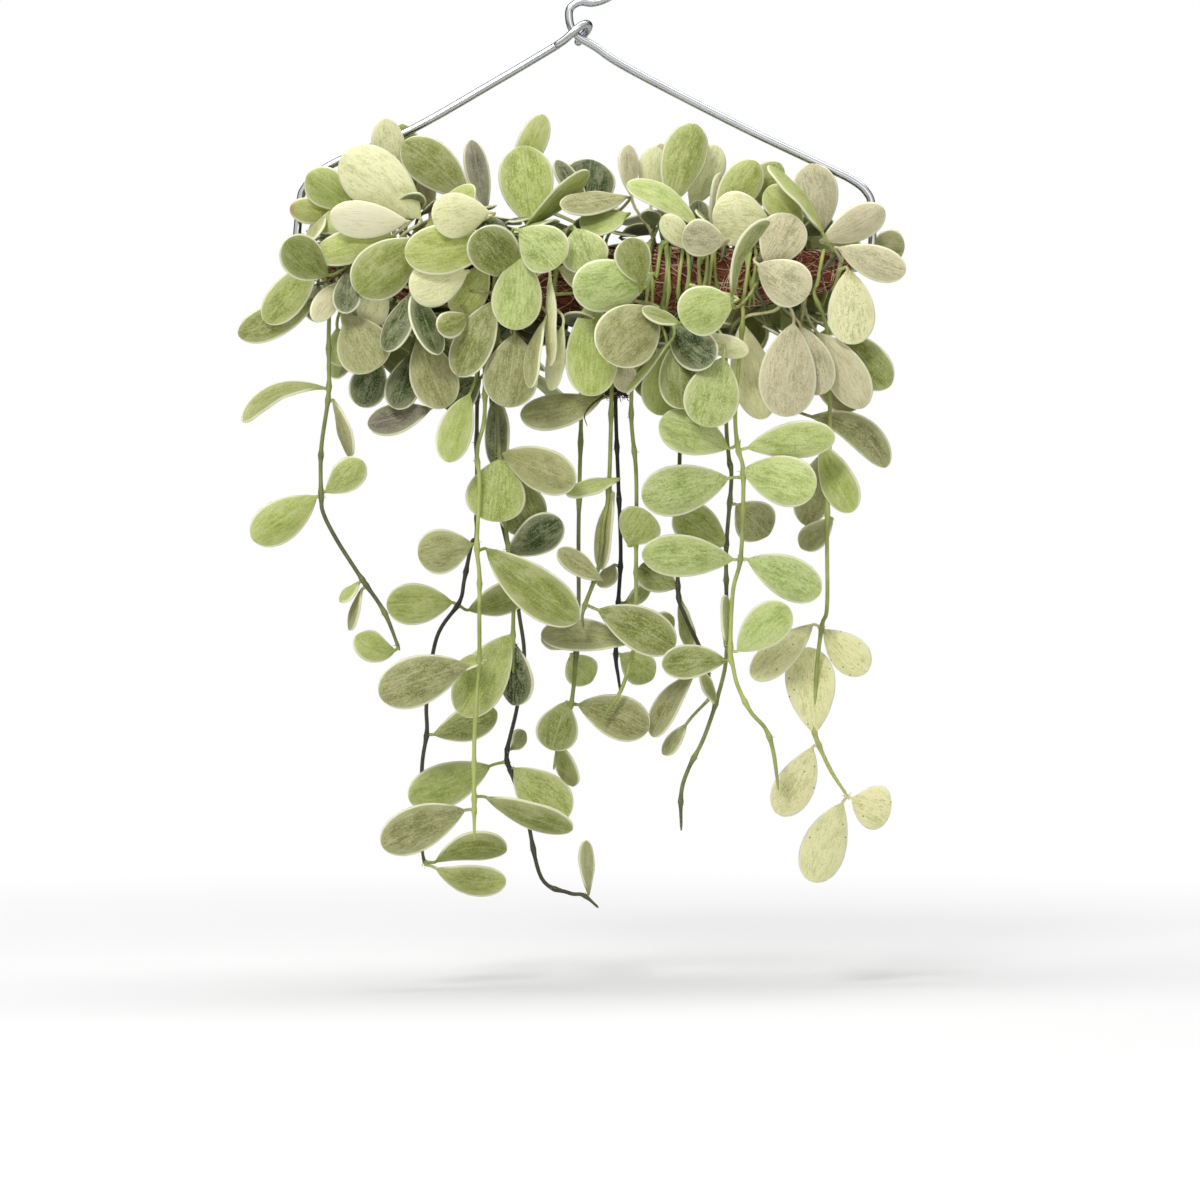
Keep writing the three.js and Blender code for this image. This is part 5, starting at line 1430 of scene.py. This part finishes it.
ROOTLET_SIDES = 5
TUFT = (2, 5)
ROOTLET_LENGTH = (0.9, 2.8)
ROOTLET_GIRTH = (0.14, 0.3)
ROOTLET_STEPS = 5
ROOTLET_BEND = 0.35
ROOTLET_PULL = (0, -0.4, -0.3)
ROOT_TIP_SHARE = 0.3
KNOT_MIDDLE = spot(13, 8, 187.5)
KNOT_REACH = (6.5, 3.5, 1.6)
KNOT_COUNT = 70
KNOT_LENGTH = (3, 6)
KNOT_GIRTH = (0.2, 0.4)
KNOT_STEPS = 8
KNOT_BEND = 0.4
LOOSE_GIRTH = 0.5
LOOSE_STEPS = 5
ROOTLET_SHADE = 0.8
LOOSE_SHADE = 0.3
KNOT_SHADE = 0.1
LOOSE_ROOTS = [
    [(7, 12, 189), (2, 15, 193), (-0.5, 16, 197), (0.5, 16, 201)],
    [(-99, 12, 141), (-104, 13, 144), (-108, 12, 143)],
    [(-98, 12, 146), (-103, 13, 149), (-106, 12, 152)],
]
chance = np.random.default_rng(23)


def wandering(start, way, length, steps, bend):
    """A root that starts one way and strays from it."""
    run = [start]
    for _ in range(steps):
        way = unit(way + chance.normal(0, bend, 3))
        run.append(run[-1] + way * length / steps)
    return np.array(run)


root_runs, root_girths, root_shades = [], [], []


def keep_root(run, girth, shade):
    root_runs.append(run)
    root_shades.append(np.full(len(run), shade))
    root_girths.append(girth * np.linspace(1, ROOT_TIP_SHARE, len(run)) * MM)


for shoot in trailing:
    for node in shoot["nodes"]:
        for _ in range(chance.integers(*TUFT)):
            way = unit(chance.normal(0, 1, 3) + ROOTLET_PULL)
            run = wandering(node + way * 0.5, way, chance.uniform(*ROOTLET_LENGTH), ROOTLET_STEPS,
                            ROOTLET_BEND)
            keep_root(run, chance.uniform(*ROOTLET_GIRTH), ROOTLET_SHADE)
for _ in range(KNOT_COUNT):
    place = unit(chance.normal(0, 1, 3)) * chance.random() ** 0.5
    start = KNOT_MIDDLE + place * KNOT_REACH
    way = unit(np.cross(place, chance.normal(0, 1, 3)))
    run = wandering(start, way, chance.uniform(*KNOT_LENGTH), KNOT_STEPS, KNOT_BEND)
    keep_root(run, chance.uniform(*KNOT_GIRTH), KNOT_SHADE)
for places in LOOSE_ROOTS:
    keep_root(eased([spot(*place) for place in places], LOOSE_STEPS), LOOSE_GIRTH, LOOSE_SHADE)

root_skin, tree, shader = blank_finish("root_skin")
mottle = mottle_of(tree, place_on(tree), 500.0, 3.0)
fill_inputs(shader, {
    "Base Color": shades(tree, mottled(tree, "shade", mottle, 0.5), (0.0, "#1d1611"), (0.3, "#4b3a27"),
                         (0.6, "#948a58"), (0.9, "#cbc993")),
    "Roughness": span(tree, mottle, 0.6, 0.95)})

rootlets = made_by(
    round_run, "rootlets", run_mesh("root_runs", root_runs, girth=root_girths, shade=root_shades),
    Sides=ROOTLET_SIDES, Finish=root_skin)
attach(rootlets, "root")
